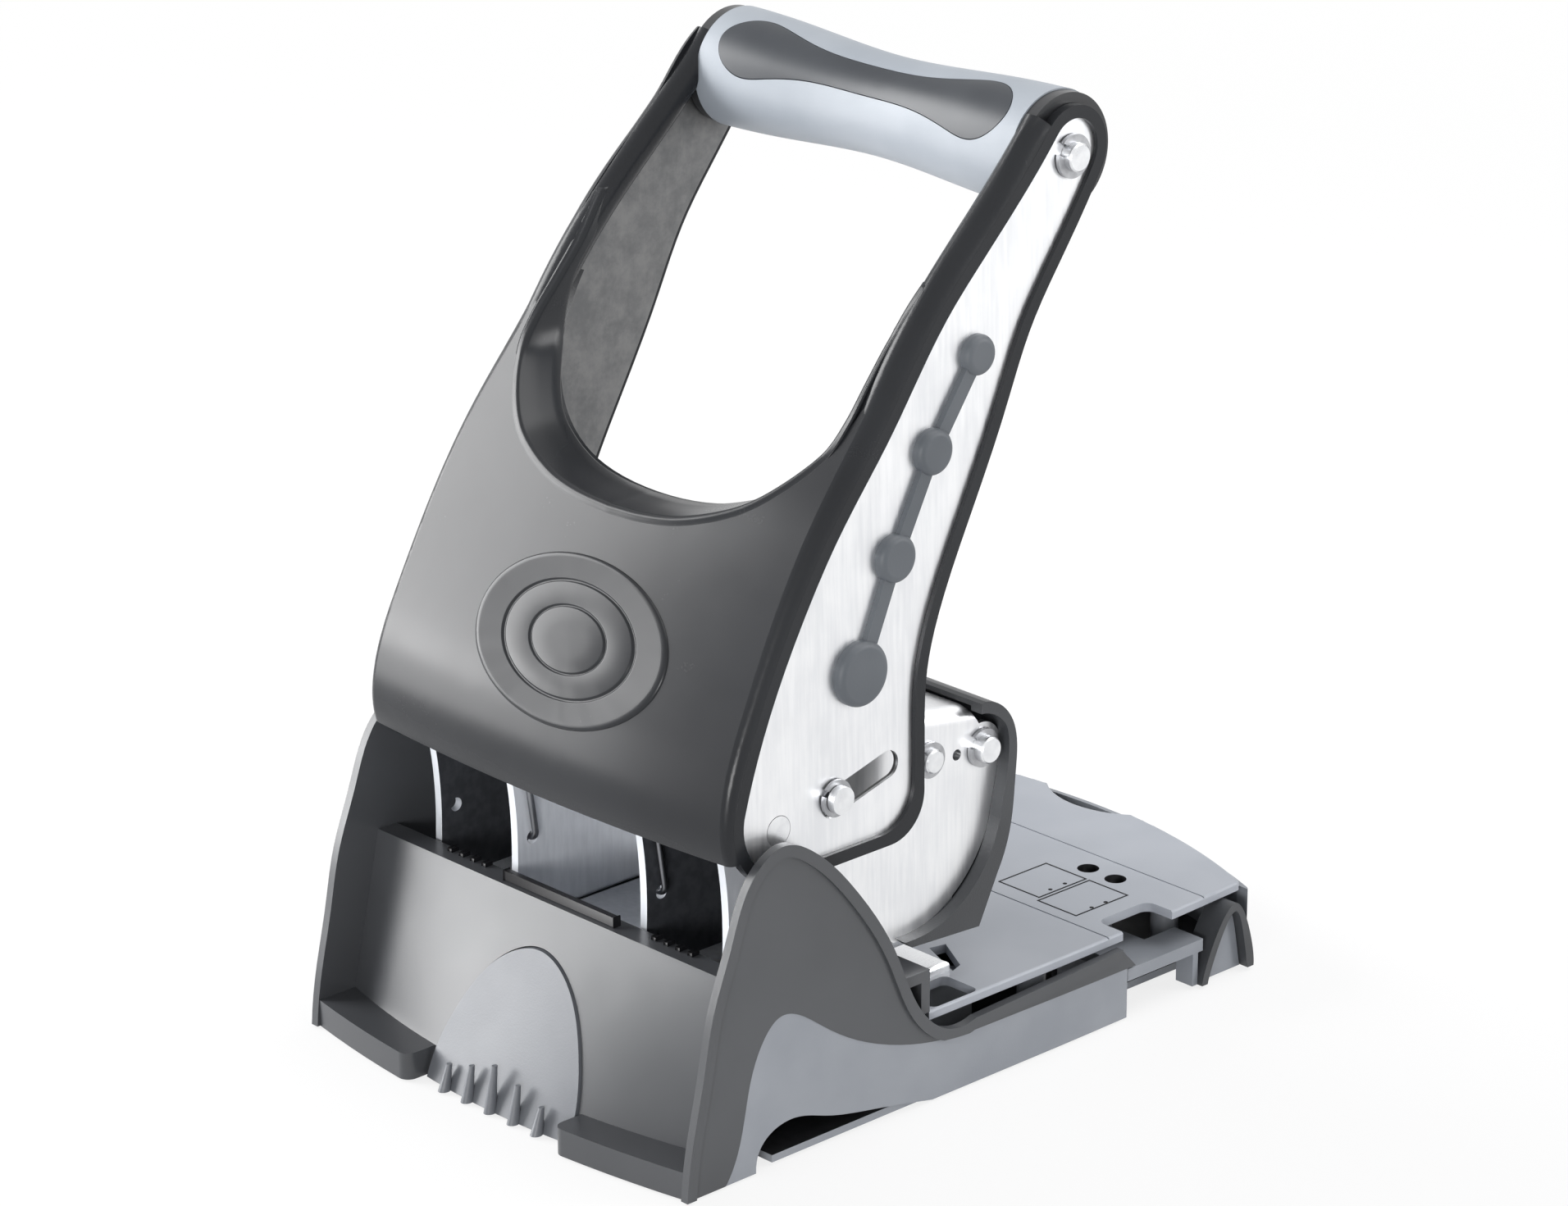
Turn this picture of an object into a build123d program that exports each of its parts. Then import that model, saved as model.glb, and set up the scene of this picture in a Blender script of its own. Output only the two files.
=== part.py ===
from build123d import *
from math import atan2, cos, degrees, hypot, radians, sin, sqrt, tan
import os

# Two-hole desk punch with a tall lever handle.
# Frame: X to the right, Y to the rear (the paper side), Z up, millimetres.
# The origin is the centre of the footprint, on the surface that the punch stands on.
# Points written as (y, z) lie in a side view, points written as (x, y) in a plan view.

os.makedirs("parts", exist_ok=True)

# ---- fits ----
running = 0.05        # radial clearance of a pin in its hole
gap = 0.3             # between faces that pass each other
seat = 0.1            # between pieces of one body that sit in each other

# ---- punching line and paper throat ----
hole_spacing = 80.0   # between the two punched holes
punch_d = 6.0
punch_line = -11.2    # y of the punched holes
deck_top = 24.5
deck_t = 2.5
die_t = 2.5
die_depth = 21.0
throat = 6.3          # clear height for the paper at the dies
stop_y = -22.5        # wall that stops the paper's edge

# ---- linkage, (y, z) at rest ----
handle_axis = (-71.5, 87.4)
drive_axis = (-52.5, 91.0)
punch_axis = (-11.5, 87.3)
rocker_axis = (7.5, 85.5)
grip_axis = (32.8, 238.0)
handle_travel = 54.0  # degrees, from upright to nearly level
rocker_ratio = 0.405  # rocker turn per handle turn
shaft_d = 6.0
drive_pin_d = 6.2
punch_pin_d = 6.4
rocker_pin_d = 7.2
grip_rod_d = 7.4

# ---- sheet metal ----
frame_t = 2.4
frame_w = 32.8        # outside width of one U bracket
frame_z = 36.5        # underside of the bracket's web
rocker_t = 2.0
side_play = 0.6       # between bracket and rocker
plate_t = 1.6         # steel plate on the handle's side

# ---- handle ----
arm_play = 2.7        # beside the head guard
arm_lean = 1.52       # degrees, inward above the handle shaft
arm_t = 2.9
wall_t = 1.3          # of the arm's border, outside the steel plate
shell_t = 2.2
shell_bulge = 3.0
edge_r = 4.3          # rounded front edges, slimmer at the foot
edge_foot_r = 2.5
lip_depth = 6.5       # behind the corner line

plate_front = 3.4     # border in front of the plate, from the corner line
plate_rim = 3.3       # and round the rest of it
plate_hem = 0.9       # the plate runs on behind the border, as far as this from its edge
slot_w = 7.4          # drive slot
slot_rise = 14.7      # degrees
slot_back = 1.2       # slot centre behind the pin at rest
slot_run = 18.8       # and ahead of it
slot_low = 1.3        # the slot's centre line below the pin at rest
drive_neck_d = 4.0    # the pin is thinner inside the slot
drive_head_d = 7.2
inlay_dots = [((-1.7, 194.2), 10.5), ((-17.7, 172.8), 12.0), ((-31.2, 148.4), 12.5), ((-43.7, 121.5), 17.0)]
inlay_bar = 4.0
inlay_t = 1.7
dot_t = 2.9
dot_round = 1.8
grip_side = 11.0      # room for the collar and the arm
grip_r = 16.0
grip_waist = 13.2
collar_r = 15.6
grip_inset_t = 1.6
head_d = 7.8          # flush heads of the handle shaft

# ---- base ----
guard_side = 3.9      # the head guard outside the rocker
cheek_play = 2.5      # between the arms and the cheeks
cheek_t = 1.6
rim_step = 0.8        # the rim bead stands out from the cheek
rim_w = 3.2
panel_t = 2.6
lip_end_r = 3.0
platform_t = 3.0

frame_x = hole_spacing / 2
frame_out = frame_x + frame_w / 2
rocker_in = frame_out + side_play
rocker_out = rocker_in + rocker_t
guard_out = rocker_out + guard_side
handle_half = guard_out + arm_play + arm_t    # at the handle shaft
cheek_in = handle_half + cheek_play
cheek_out = cheek_in + cheek_t
rim_out = cheek_out + rim_step
grip_half = handle_half - grip_side
pin_end = cheek_in - 0.4
plate_out = handle_half - wall_t
plate_in = plate_out - plate_t
die_top = deck_top + die_t
punch_tip = die_top + throat
rocker_travel = handle_travel * rocker_ratio


def turned(point, centre, angle):
    """A side-view point turned about a centre, in degrees from Y towards Z."""
    dy = point[0] - centre[0]
    dz = point[1] - centre[1]
    c = cos(radians(angle))
    s = sin(radians(angle))
    return (centre[0] + dy * c - dz * s, centre[1] + dy * s + dz * c)


def moved_in(points, distance):
    """The points of an open curve, each moved to the right of its direction."""
    out = []
    last = len(points) - 1
    for i, (y, z) in enumerate(points):
        ahead = points[min(i + 1, last)]
        behind = points[max(i - 1, 0)]
        ty = ahead[0] - behind[0]
        tz = ahead[1] - behind[1]
        length = hypot(ty, tz)
        out.append((y + tz / length * distance, z - ty / length * distance))
    return out



def side(x):
    """Side-view sketch plane at x: its first axis is Y and its second is Z."""
    return Plane.YZ.offset(x)


def edges_along(body, x, start, end):
    """A body's straight edges on the line between two side-view points, at x and at -x."""
    reach = hypot(end[0] - start[0], end[1] - start[1])
    found = []
    for edge in body.edges().filter_by(GeomType.LINE):
        middle = edge.center()
        to_start = hypot(middle.Y - start[0], middle.Z - start[1])
        to_end = hypot(middle.Y - end[0], middle.Z - end[1])
        along = edge.length > 0.8 * reach
        if along and abs(abs(middle.X) - x) < 0.01 and abs(to_start + to_end - reach) < 0.01:
            found.append(edge)
    return found


# ---- side-view curves ----
# The corner line, where the arm's flat side ends and its rounded front edge begins.
corner_curve = [
    (-86.2, 83.0), (-87.1, 95.4), (-78.2, 118.9), (-63.6, 145.3), (-53.3, 160.2),
    (-35.0, 182.0), (-14.7, 208.1), (-2.7, 219.9), (10.9, 232.7), (24.6, 247.2),
]
rear_curve = [
    (42.9, 234.0), (27.6, 212.3), (17.1, 197.5), (7.4, 177.5), (-6.3, 151.1),
    (-16.4, 130.8), (-20.9, 116.6), (-22.1, 99.8), (-22.4, 88.0),
]
ear_r = 14.0          # border round the handle shaft
heel = 12.0           # lower rear corner of the handle


def arm_face(front_in, around_in):
    """Side view of a handle arm, inset from its front edge and from the rest of its edge."""
    front = moved_in(corner_curve[1:], front_in)
    rear = moved_in(rear_curve, around_in)
    gy, gz = grip_axis
    hy, hz = handle_axis
    top = (gy + (12.9 - around_in) * sin(radians(15)), gz + (12.9 - around_in) * cos(radians(15)))
    ear = ear_r - around_in
    foot_z = hz - ear
    corner_y = rear[-1][0]
    corner_z = foot_z + heel
    with BuildSketch() as arm:
        with BuildLine():
            Spline(*front)
            ThreePointArc(front[-1], top, rear[0])
            Spline(*rear)
            Line(rear[-1], (corner_y, corner_z))
            RadiusArc((corner_y, corner_z), (corner_y - heel, foot_z), heel)
            Line((corner_y - heel, foot_z), (hy, foot_z))
            ThreePointArc((hy, foot_z), (hy - ear * sin(radians(50)), hz - ear * cos(radians(50))), front[0])
        make_face()
    return arm.sketch


def arm_half(z):
    """Half the handle's width at a height."""
    return handle_half - (z - handle_axis[1]) * tan(radians(arm_lean))


def arm_plane(hand, depth):
    """Side-view plane on a leaning arm, a depth inside its outer face. Its axes are Y and up the arm."""
    c = cos(radians(arm_lean))
    s = sin(radians(arm_lean))
    z = handle_axis[1]
    origin = (hand * (handle_half - depth + z * s), 0, z * (1 - c))
    return Plane(origin=origin, x_dir=(0, 1, 0), z_dir=(c, 0, hand * s))


def slot_face(width):
    """The drive slot: straight, a little below the pin at rest, run on past its working end."""
    c = cos(radians(slot_rise))
    s = sin(radians(slot_rise))
    start = (drive_axis[0] - slot_back * c + slot_low * s, drive_axis[1] - slot_back * s - slot_low * c)
    end = (drive_axis[0] + slot_run * c + slot_low * s, drive_axis[1] + slot_run * s - slot_low * c)
    with BuildSketch() as slot:
        SlotCenterToCenter(slot_back + slot_run, width)
    turn = Location(((start[0] + end[0]) / 2, (start[1] + end[1]) / 2), slot_rise)
    return slot.sketch.moved(turn)


# ---- punch frames: two bent U brackets ----
saddle_z = 73.0
web_end = -1.0
spring_hole = (-73.3, 59.0)


def frame_profile():
    hy, hz = handle_axis
    ry, rz = rocker_axis
    ear = 10.8
    rear_ear = 6.0
    with BuildSketch() as plate:
        with BuildLine():
            Spline((-79.5, frame_z), (-78.3, 60.0), (-79.0, 71.0), (hy - ear, hz))
            ThreePointArc((hy - ear, hz), (hy, hz + ear), (hy + ear, hz))
            Polyline((hy + ear, hz), (hy + 15, saddle_z), (ry - 10, saddle_z), (ry - rear_ear, rz))
            ThreePointArc((ry - rear_ear, rz), (ry, rz + rear_ear), (ry + rear_ear, rz))
            Polyline((ry + rear_ear, rz), (web_end, frame_z + 6), (web_end, frame_z), (-79.5, frame_z))
        make_face()
        with Locations(handle_axis):
            Circle(shaft_d / 2 + running, mode=Mode.SUBTRACT)
        with Locations(rocker_axis):
            Circle(rocker_pin_d / 2 + running, mode=Mode.SUBTRACT)
        with Locations(spring_hole):
            Circle(1.85, mode=Mode.SUBTRACT)
    return plate.sketch


guide_d = 11.0
frame_screw_y = (-66.0, -34.0)
screw_d = 4.0
screw_l = 9.0         # below the bracket
for name, hand in (("left", -1), ("right", 1)):
    x_low = hand * frame_x - frame_w / 2
    with BuildPart() as punch_frame:
        for x in (x_low, x_low + frame_w - frame_t):
            with BuildSketch(side(x)):
                add(frame_profile())
            extrude(amount=frame_t)
        with BuildSketch(Plane.XY.offset(frame_z)):
            with Locations((hand * frame_x, (web_end - 79.5) / 2)):
                Rectangle(frame_w, web_end + 79.5)
        extrude(amount=frame_t)
        bends = punch_frame.edges().filter_by(Axis.Y).group_by(Axis.Z)[0]
        fillet(bends, 1.6)
        with Locations((hand * frame_x, punch_line, frame_z)):
            Hole(guide_d / 2 + seat, depth=2 * frame_t)
        for y in frame_screw_y:
            with Locations((hand * frame_x, y, frame_z)):
                Hole(screw_d / 2 + seat, depth=2 * frame_t)
    punch_frame.part.label = f"punch_frame_{name}"
    export_step(punch_frame.part, f"parts/punch_frame_{name}.step")

    # Guide bush of the punch: a flange on the web, a neck down to the throat.
    with BuildPart() as punch_guide:
        with BuildSketch(Plane.XZ.offset(-punch_line)):
            with BuildLine():
                Polyline(
                    (hand * frame_x + punch_d / 2 + running, punch_tip),
                    (hand * frame_x + guide_d / 2 - 0.8, punch_tip),
                    (hand * frame_x + guide_d / 2, punch_tip + 0.8),
                    (hand * frame_x + guide_d / 2, frame_z + frame_t),
                    (hand * frame_x + guide_d / 2 + 2.5, frame_z + frame_t),
                    (hand * frame_x + guide_d / 2 + 2.5, frame_z + frame_t + 2),
                    (hand * frame_x + guide_d / 2 - 0.5, frame_z + frame_t + 2),
                    (hand * frame_x + guide_d / 2 - 0.5, frame_z + 16),
                    (hand * frame_x + punch_d / 2 + running, frame_z + 16),
                    close=True,
                )
            make_face()
        revolve(axis=Axis((hand * frame_x, punch_line, 0), (0, 0, 1)))
    punch_guide.part.label = f"punch_guide_{name}"
    export_step(punch_guide.part, f"parts/punch_guide_{name}.step")

    # Punch: a hollow-ground tip, a shank and a head with a cross slot for the punch pin.
    pin_back = punch_axis[0] - turned(punch_axis, rocker_axis, rocker_travel)[0]
    cross_y = (2 * punch_axis[0] - pin_back) / 2
    cross_w = punch_pin_d + abs(pin_back) + 2 * 0.2
    with BuildPart() as punch:
        with Locations((hand * frame_x, punch_line, punch_tip)):
            Cylinder(punch_d / 2, 48, align=(Align.CENTER, Align.CENTER, Align.MIN))
        with Locations((hand * frame_x, punch_line, punch_axis[1] - 7)):
            Cylinder(6.5, 13.5, align=(Align.CENTER, Align.CENTER, Align.MIN))
        chamfer(punch.edges().filter_by(GeomType.CIRCLE).group_by(Axis.Z)[-1], 0.8)
        with Locations((hand * frame_x, cross_y, punch_axis[1])):
            Box(14, cross_w, punch_pin_d + 2 * 0.12, mode=Mode.SUBTRACT)
        with Locations((hand * frame_x, punch_line, punch_tip - 4)):
            Sphere(4.7, mode=Mode.SUBTRACT)
    punch.part.label = f"punch_{name}"
    export_step(punch.part, f"parts/punch_{name}.step")

# ---- frame screws ----
with BuildPart() as frame_screws:
    for hand in (-1, 1):
        for y in frame_screw_y:
            with Locations((hand * frame_x, y, frame_z + frame_t)):
                Cylinder(3.6, 2.2, align=(Align.CENTER, Align.CENTER, Align.MIN))
                Cylinder(screw_d / 2, screw_l + frame_t, align=(Align.CENTER, Align.CENTER, Align.MAX))
                with Locations((0, 0, 2.2)):
                    Cylinder(1.5, 2.4, mode=Mode.SUBTRACT)
frame_screws.part.label = "frame_screws"
export_step(frame_screws.part, "parts/frame_screws.step")


def pin(name, axis_point, diameter, end):
    """A round pin along X through the whole width, with a small chamfer at its ends."""
    with BuildPart() as body:
        with BuildSketch(side(-end)):
            with Locations(axis_point):
                Circle(diameter / 2)
        extrude(amount=2 * end)
        chamfer(body.edges().filter_by(GeomType.CIRCLE), 0.4)
    body.part.label = name
    export_step(body.part, f"parts/{name}.step")


def clips(name, axis_point, diameter, start, thickness, outer):
    """Retaining clips, one at each end of a pin: rings with an open mouth at the front."""
    y, z = axis_point
    with BuildPart() as rings:
        for hand in (-1, 1):
            with BuildSketch(side(hand * start)):
                with Locations((y, z)):
                    Circle(outer / 2)
                    Circle(diameter / 2 + 0.02, mode=Mode.SUBTRACT)
                    with Locations(Location((0, 0), 150)):
                        with Locations((outer / 2, 0)):
                            Rectangle(outer / 2, diameter * 0.42, mode=Mode.SUBTRACT)
            extrude(amount=hand * thickness)
    rings.part.label = name
    export_step(rings.part, f"parts/{name}.step")


clip_t = 1.0
pin("rocker_pivot_pin", rocker_axis, rocker_pin_d, guard_out - 0.1)
clips("rocker_pivot_clips", rocker_axis, rocker_pin_d, rocker_out + 0.15, clip_t, 10.4)
pin("punch_pin", punch_axis, punch_pin_d, rocker_out + 2.6)
clips("punch_pin_clips", punch_axis, punch_pin_d, rocker_out + 0.1, clip_t, 9.6)
clips("drive_pin_clips", drive_axis, drive_neck_d, plate_out + gap, clip_t - 0.2, 9.8)
grip_plate = arm_half(grip_axis[1]) - wall_t
pin("grip_rod", grip_axis, grip_rod_d, grip_plate + pin_end - plate_out)
clips("grip_rod_clips", grip_axis, grip_rod_d, grip_plate + gap, clip_t, 11.4)

# ---- drive pins: a shoulder in the rocker, a neck in the handle's slot and a head outside ----
with BuildPart() as drive_pins:
    for hand in (-1, 1):
        steps = [
            (rocker_in, handle_half - arm_t - gap, drive_pin_d),
            (handle_half - arm_t - gap, plate_out + gap + clip_t, drive_neck_d),
            (plate_out + gap + clip_t, pin_end, drive_head_d),
        ]
        for start, end, diameter in steps:
            with BuildSketch(side(hand * start)):
                with Locations(drive_axis):
                    Circle(diameter / 2)
            extrude(amount=hand * (end - start))
drive_pins.part.label = "drive_pins"
export_step(drive_pins.part, "parts/drive_pins.step")

# ---- handle shaft, with flush riveted heads ----
with BuildPart() as handle_shaft:
    hy, hz = handle_axis
    with BuildSketch(side(-plate_out)):
        with Locations((hy, hz)):
            Circle(shaft_d / 2)
    extrude(amount=2 * plate_out)
    for hand in (-1, 1):
        with BuildSketch(side(hand * plate_in)):
            with Locations((hy, hz)):
                Circle(head_d / 2)
        extrude(amount=hand * plate_t)
handle_shaft.part.label = "handle_shaft"
export_step(handle_shaft.part, "parts/handle_shaft.step")

# ---- rocker: folded lever with fan-shaped sides and a web on top ----
ry, rz = rocker_axis
dy, dz = drive_axis
web_front = (-45.0, 105.5)
web_rear = (3.0, 97.5)
fan_c = (-23.9, 76.9)
fan_r = 36.6
bend_r = 4.0
web_slope = (web_rear[1] - web_front[1]) / (web_rear[0] - web_front[0])


def under_web(y):
    """Side-view point on the web's underside, or on its line run on past the web."""
    drop = rocker_t * hypot(1, web_slope)
    return (y, web_front[1] + web_slope * (y - web_front[0]) - drop)


with BuildPart() as rocker_hollow:
    with BuildSketch(side(-rocker_in)):
        with BuildLine():
            Polyline(under_web(-90), under_web(40), (40, 0), (-90, 0), close=True)
        make_face()
    extrude(amount=2 * rocker_in)
    fillet(edges_along(rocker_hollow, rocker_in, under_web(-90), under_web(40)), bend_r - rocker_t)

with BuildPart() as rocker:
    ear = 6.7
    nose = 8.2
    fan_top = (fan_c[0] + fan_r * cos(radians(-3)), fan_c[1] + fan_r * sin(radians(-3)))
    fan_mid = (fan_c[0] + fan_r * cos(radians(-45)), fan_c[1] + fan_r * sin(radians(-45)))
    fan_low = (fan_c[0], fan_c[1] - fan_r)
    belly = (dy + 16, dz - 40)
    with BuildSketch(side(-rocker_out)):
        with BuildLine():
            Line(web_front, web_rear)
            Line(web_rear, (ry - 1, rz + ear))
            ThreePointArc((ry - 1, rz + ear), (ry + ear * 0.8, rz + ear * 0.6), (ry + ear, rz - 1))
            Line((ry + ear, rz - 1), fan_top)
            ThreePointArc(fan_top, fan_mid, fan_low)
            Line(fan_low, belly)
            Spline(belly, (dy + 4, dz - 20), (dy - nose, dz))
            ThreePointArc((dy - nose, dz), (dy - nose * 0.7, dz + nose * 0.7), (dy, dz + nose))
            Line((dy, dz + nose), web_front)
        make_face()
        with Locations(rocker_axis):
            Circle(rocker_pin_d / 2 + running, mode=Mode.SUBTRACT)
        with Locations(punch_axis):
            Circle(punch_pin_d / 2 + running, mode=Mode.SUBTRACT)
        with Locations(drive_axis):
            Circle(drive_pin_d / 2 + running, mode=Mode.SUBTRACT)
        with Locations((ry - 8.9, rz + 0.2)):
            Circle(1.5, mode=Mode.SUBTRACT)
    extrude(amount=2 * rocker_out)
    fillet(edges_along(rocker, rocker_out, web_front, web_rear), bend_r)
    add(rocker_hollow.part, mode=Mode.SUBTRACT)
rocker.part.label = "rocker"
export_step(rocker.part, "parts/rocker.step")

# ---- head guard: dark moulding over the rear of the rocker ----
guard_t = 1.9
guard_curve = [(5.0, 99.6), (11.8, 96.3), (15.3, 91.3), (16.6, 85.5), (16.2, 77.1), (14.9, 64.6), (10.1, 51.4)]
guard_foot = (3.4, 38.0)
guard_toe = (-20.9, 39.4)
with BuildPart() as head_guard:
    with BuildSketch(side(-guard_out)):
        with BuildLine():
            Spline(*guard_curve)
            Polyline(guard_curve[-1], guard_foot, guard_toe, (-24.0, 42.0), (3.6, 90.0), (3.6, 99.3), guard_curve[0])
        make_face()
    extrude(amount=2 * guard_out)
    # hollow for the rocker
    with BuildSketch(side(-rocker_out - 0.05)):
        with BuildLine():
            inside = moved_in(guard_curve, guard_t)
            Spline(*inside)
            Polyline(
                inside[-1], (guard_foot[0] - guard_t, guard_foot[1] - 5), (-40, guard_foot[1] - 5),
                (-40, inside[0][1]), inside[0],
            )
        make_face()
    extrude(amount=2 * (rocker_out + 0.05), mode=Mode.SUBTRACT)
    # windows in the side flanges
    with BuildSketch(side(-guard_out)):
        with BuildLine():
            window = [(4.0, 96.6), (9.6, 94.4), (12.9, 90.6), (13.7, 86.0), (13.2, 78.5), (10.6, 66.0)]
            Spline(*window)
            ThreePointArc(window[-1], (3.0, 51.4), (-21.5, 41.4))
            Polyline((-21.5, 41.4), (-40, 41.4), (-40, 96.6), window[0])
        make_face()
    extrude(amount=2 * guard_out, mode=Mode.SUBTRACT)
head_guard.part.label = "head_guard"
export_step(head_guard.part, "parts/head_guard.step")

# ---- handle: dark moulded cover with a U opening, one shell with the borders of its two arms ----
# U opening as shares of the half-width, against height.
opening_shares = [
    (0.0, 153.8), (0.19, 154.4), (0.394, 156.8), (0.584, 161.8), (0.745, 169.5), (0.847, 178.5), (0.895, 190.0),
    (0.9, 200.0),
]
opening = [(share * handle_half, z) for share, z in opening_shares]
lip_t = 2.4
lip_top = 192.0       # the lip runs out into the arms here
edge_start = 4        # point of the corner line below which the skin alone forms the edge


def edge_radius(z):
    """Radius of the rounded front edge at a height."""
    rise = min((z - corner_curve[0][1]) / 100, 1)
    return edge_foot_r + (edge_r - edge_foot_r) * rise


def corner_plane(i):
    """Plane across the handle at a point of the corner line: X, and square to the front."""
    ahead = corner_curve[min(i + 1, len(corner_curve) - 1)]
    behind = corner_curve[max(i - 1, 0)]
    return Plane(
        origin=(0, *corner_curve[i]), x_dir=(1, 0, 0), z_dir=(0, behind[0] - ahead[0], behind[1] - ahead[1])
    )


def cover_section(i, inset, leg):
    """Section across the handle: straight sides, rounded edges and one shallow arc in front."""
    z = corner_curve[i][1]
    half = arm_half(z) - inset
    r = max(edge_radius(z) - inset, 0.3)
    crown = edge_radius(z) + shell_bulge - inset
    big = ((half - r) ** 2 + crown ** 2 - r ** 2) / (2 * (crown - r))
    run = big / (big - r)
    tangent = ((half - r) * run, (crown - big) * (1 - run))
    turn = atan2(tangent[1], tangent[0] - half + r) / 2
    middle = (half - r + r * cos(turn), r * sin(turn))
    with BuildSketch(corner_plane(i)) as section:
        with BuildLine():
            Line((-half, -leg), (-half, 0))
            ThreePointArc((-half, 0), (-middle[0], middle[1]), (-tangent[0], tangent[1]))
            ThreePointArc((-tangent[0], tangent[1]), (0, crown), tangent)
            ThreePointArc(tangent, middle, (half, 0))
            Polyline((half, 0), (half, -leg), (-half, -leg))
        make_face()
    return section.sketch


def cover_block(inset, leg):
    """The sections lofted up the corner line."""
    with BuildPart() as block:
        for i in range(len(corner_curve)):
            add(cover_section(i, inset, leg))
        loft()
    return block.part


def opening_prism(grow, top):
    """A prism along Y through the U opening, larger all round by the amount given."""
    right = [(x + grow, z) for x, z in opening[1:]]
    left = [(-x, z) for x, z in reversed(right)]
    bottom = (0.0, opening[0][1] - grow)
    with BuildPart() as prism:
        with BuildSketch(Plane.XZ.offset(-120)):
            with BuildLine():
                Spline(*left, bottom, *right)
                Polyline(right[-1], (right[-1][0] - 1, 290), (1 - right[-1][0], 290), left[0])
            make_face()
            with Locations((0, top)):
                Rectangle(200, 200, align=(Align.CENTER, Align.MIN), mode=Mode.SUBTRACT)
        extrude(amount=300)
    return prism.part


def front_edge(hand):
    """Rounded front edge of one arm, a hair inside the skin."""
    with BuildPart() as edge:
        for i in range(edge_start, len(corner_curve)):
            y, z = corner_curve[i]
            r = edge_radius(z)
            with BuildSketch(corner_plane(i)):
                with Locations((hand * (arm_half(z) - r), 0)):
                    Circle(r - 0.15)
        loft()
    return edge.part


def arm_slab(hand, depth, thickness, front_in, around_in):
    """The arm's outline as a slab, from a depth inside the arm's face outward."""
    with BuildPart() as slab:
        with BuildSketch(arm_plane(hand, depth)):
            add(arm_face(front_in, around_in))
        extrude(amount=hand * thickness)
    return slab.part


outer = cover_block(0.02, lip_depth)
cover = outer - cover_block(shell_t, lip_depth + 1)
cover = cover + (outer & opening_prism(lip_t, lip_top)) - opening_prism(0, 300)
for hand in (-1, 1):
    cover = cover + front_edge(hand) + arm_slab(hand, arm_t, arm_t, 0, 0)
for hand in (-1, 1):
    # pocket and window for the steel plate
    cover = cover - arm_slab(hand, arm_t + seat, plate_t + 2 * seat, plate_front - 2.0 - seat, plate_hem - seat)
    cover = cover - arm_slab(hand, arm_t, 2 * arm_t, plate_front, plate_rim)
with BuildPart() as handle_cover:
    add(cover)
    # clearance for the grip
    with Locations(Location((0, *grip_axis), (0, 90, 0))):
        Cylinder(grip_r + gap, 2 * (grip_half + seat), mode=Mode.SUBTRACT)
        Cylinder(collar_r + seat, 2 * (arm_half(grip_axis[1]) - arm_t), mode=Mode.SUBTRACT)
handle_cover.part.label = "handle_cover"
export_step(handle_cover.part, "parts/handle_cover.step")

# ---- steel side plates with the drive slots ----
for name, hand in (("left", -1), ("right", 1)):
    with BuildPart() as handle_plate:
        with BuildSketch(arm_plane(hand, arm_t)):
            add(arm_face(plate_front - 2.0, plate_hem))
            add(slot_face(slot_w), mode=Mode.SUBTRACT)
            with Locations(handle_axis):
                Circle(head_d / 2 + seat, mode=Mode.SUBTRACT)
            with Locations(grip_axis):
                Circle(grip_rod_d / 2 + seat, mode=Mode.SUBTRACT)
        extrude(amount=hand * plate_t)
    handle_plate.part.label = f"handle_plate_{name}"
    export_step(handle_plate.part, f"parts/handle_plate_{name}.step")

    # Soft inlay on the plate: four domed dots on one bar.
    with BuildPart() as handle_inlay:
        with BuildSketch(arm_plane(hand, wall_t)):
            for (y, z), diameter in inlay_dots:
                with Locations((y, z)):
                    Circle(diameter / 2)
        extrude(amount=hand * dot_t)
        domes = handle_inlay.edges().filter_by(GeomType.CIRCLE).filter_by(
            lambda e: hand * (e.center().X - hand * arm_half(e.center().Z)) > 0
        )
        fillet(domes, dot_round)
        with BuildSketch(arm_plane(hand, wall_t)):
            for (first, _), (second, _) in zip(inlay_dots, inlay_dots[1:]):
                turn = degrees(atan2(second[1] - first[1], second[0] - first[0]))
                with Locations(Location(((first[0] + second[0]) / 2, (first[1] + second[1]) / 2), turn)):
                    Rectangle(hypot(second[0] - first[0], second[1] - first[1]), inlay_bar)
        extrude(amount=hand * inlay_t)
    handle_inlay.part.label = f"handle_inlay_{name}"
    export_step(handle_inlay.part, f"parts/handle_inlay_{name}.step")

# ---- grip ----
gy, gz = grip_axis
# Half of the soft inset's outline: along the grip, and its half-width there.
grip_inset_half = [(0.0, 4.2), (20.0, 4.9), (33.0, 7.3), (43.0, 8.4), (50.0, 4.8)]
grip_inset_end = 52.0
grip_inset_turn = 44.0    # degrees up from the front


def grip_body(grow):
    """The waisted grip with its bore, its surface moved outward by an amount."""
    with BuildPart() as body:
        with BuildSketch(Plane.XY.offset(gz)):
            with BuildLine():
                half = [(grip_half, gy + grip_r + grow), (36, gy + grip_r - 0.8 + grow)]
                Spline(*[(-x, y) for x, y in half], (0, gy + grip_waist + grow), *reversed(half))
                bore = gy + grip_rod_d / 2 + seat
                Polyline(half[0], (grip_half, bore), (-grip_half, bore), (-half[0][0], half[0][1]))
            make_face()
        revolve(axis=Axis((0, gy, gz), (1, 0, 0)))
    return body.part


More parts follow.
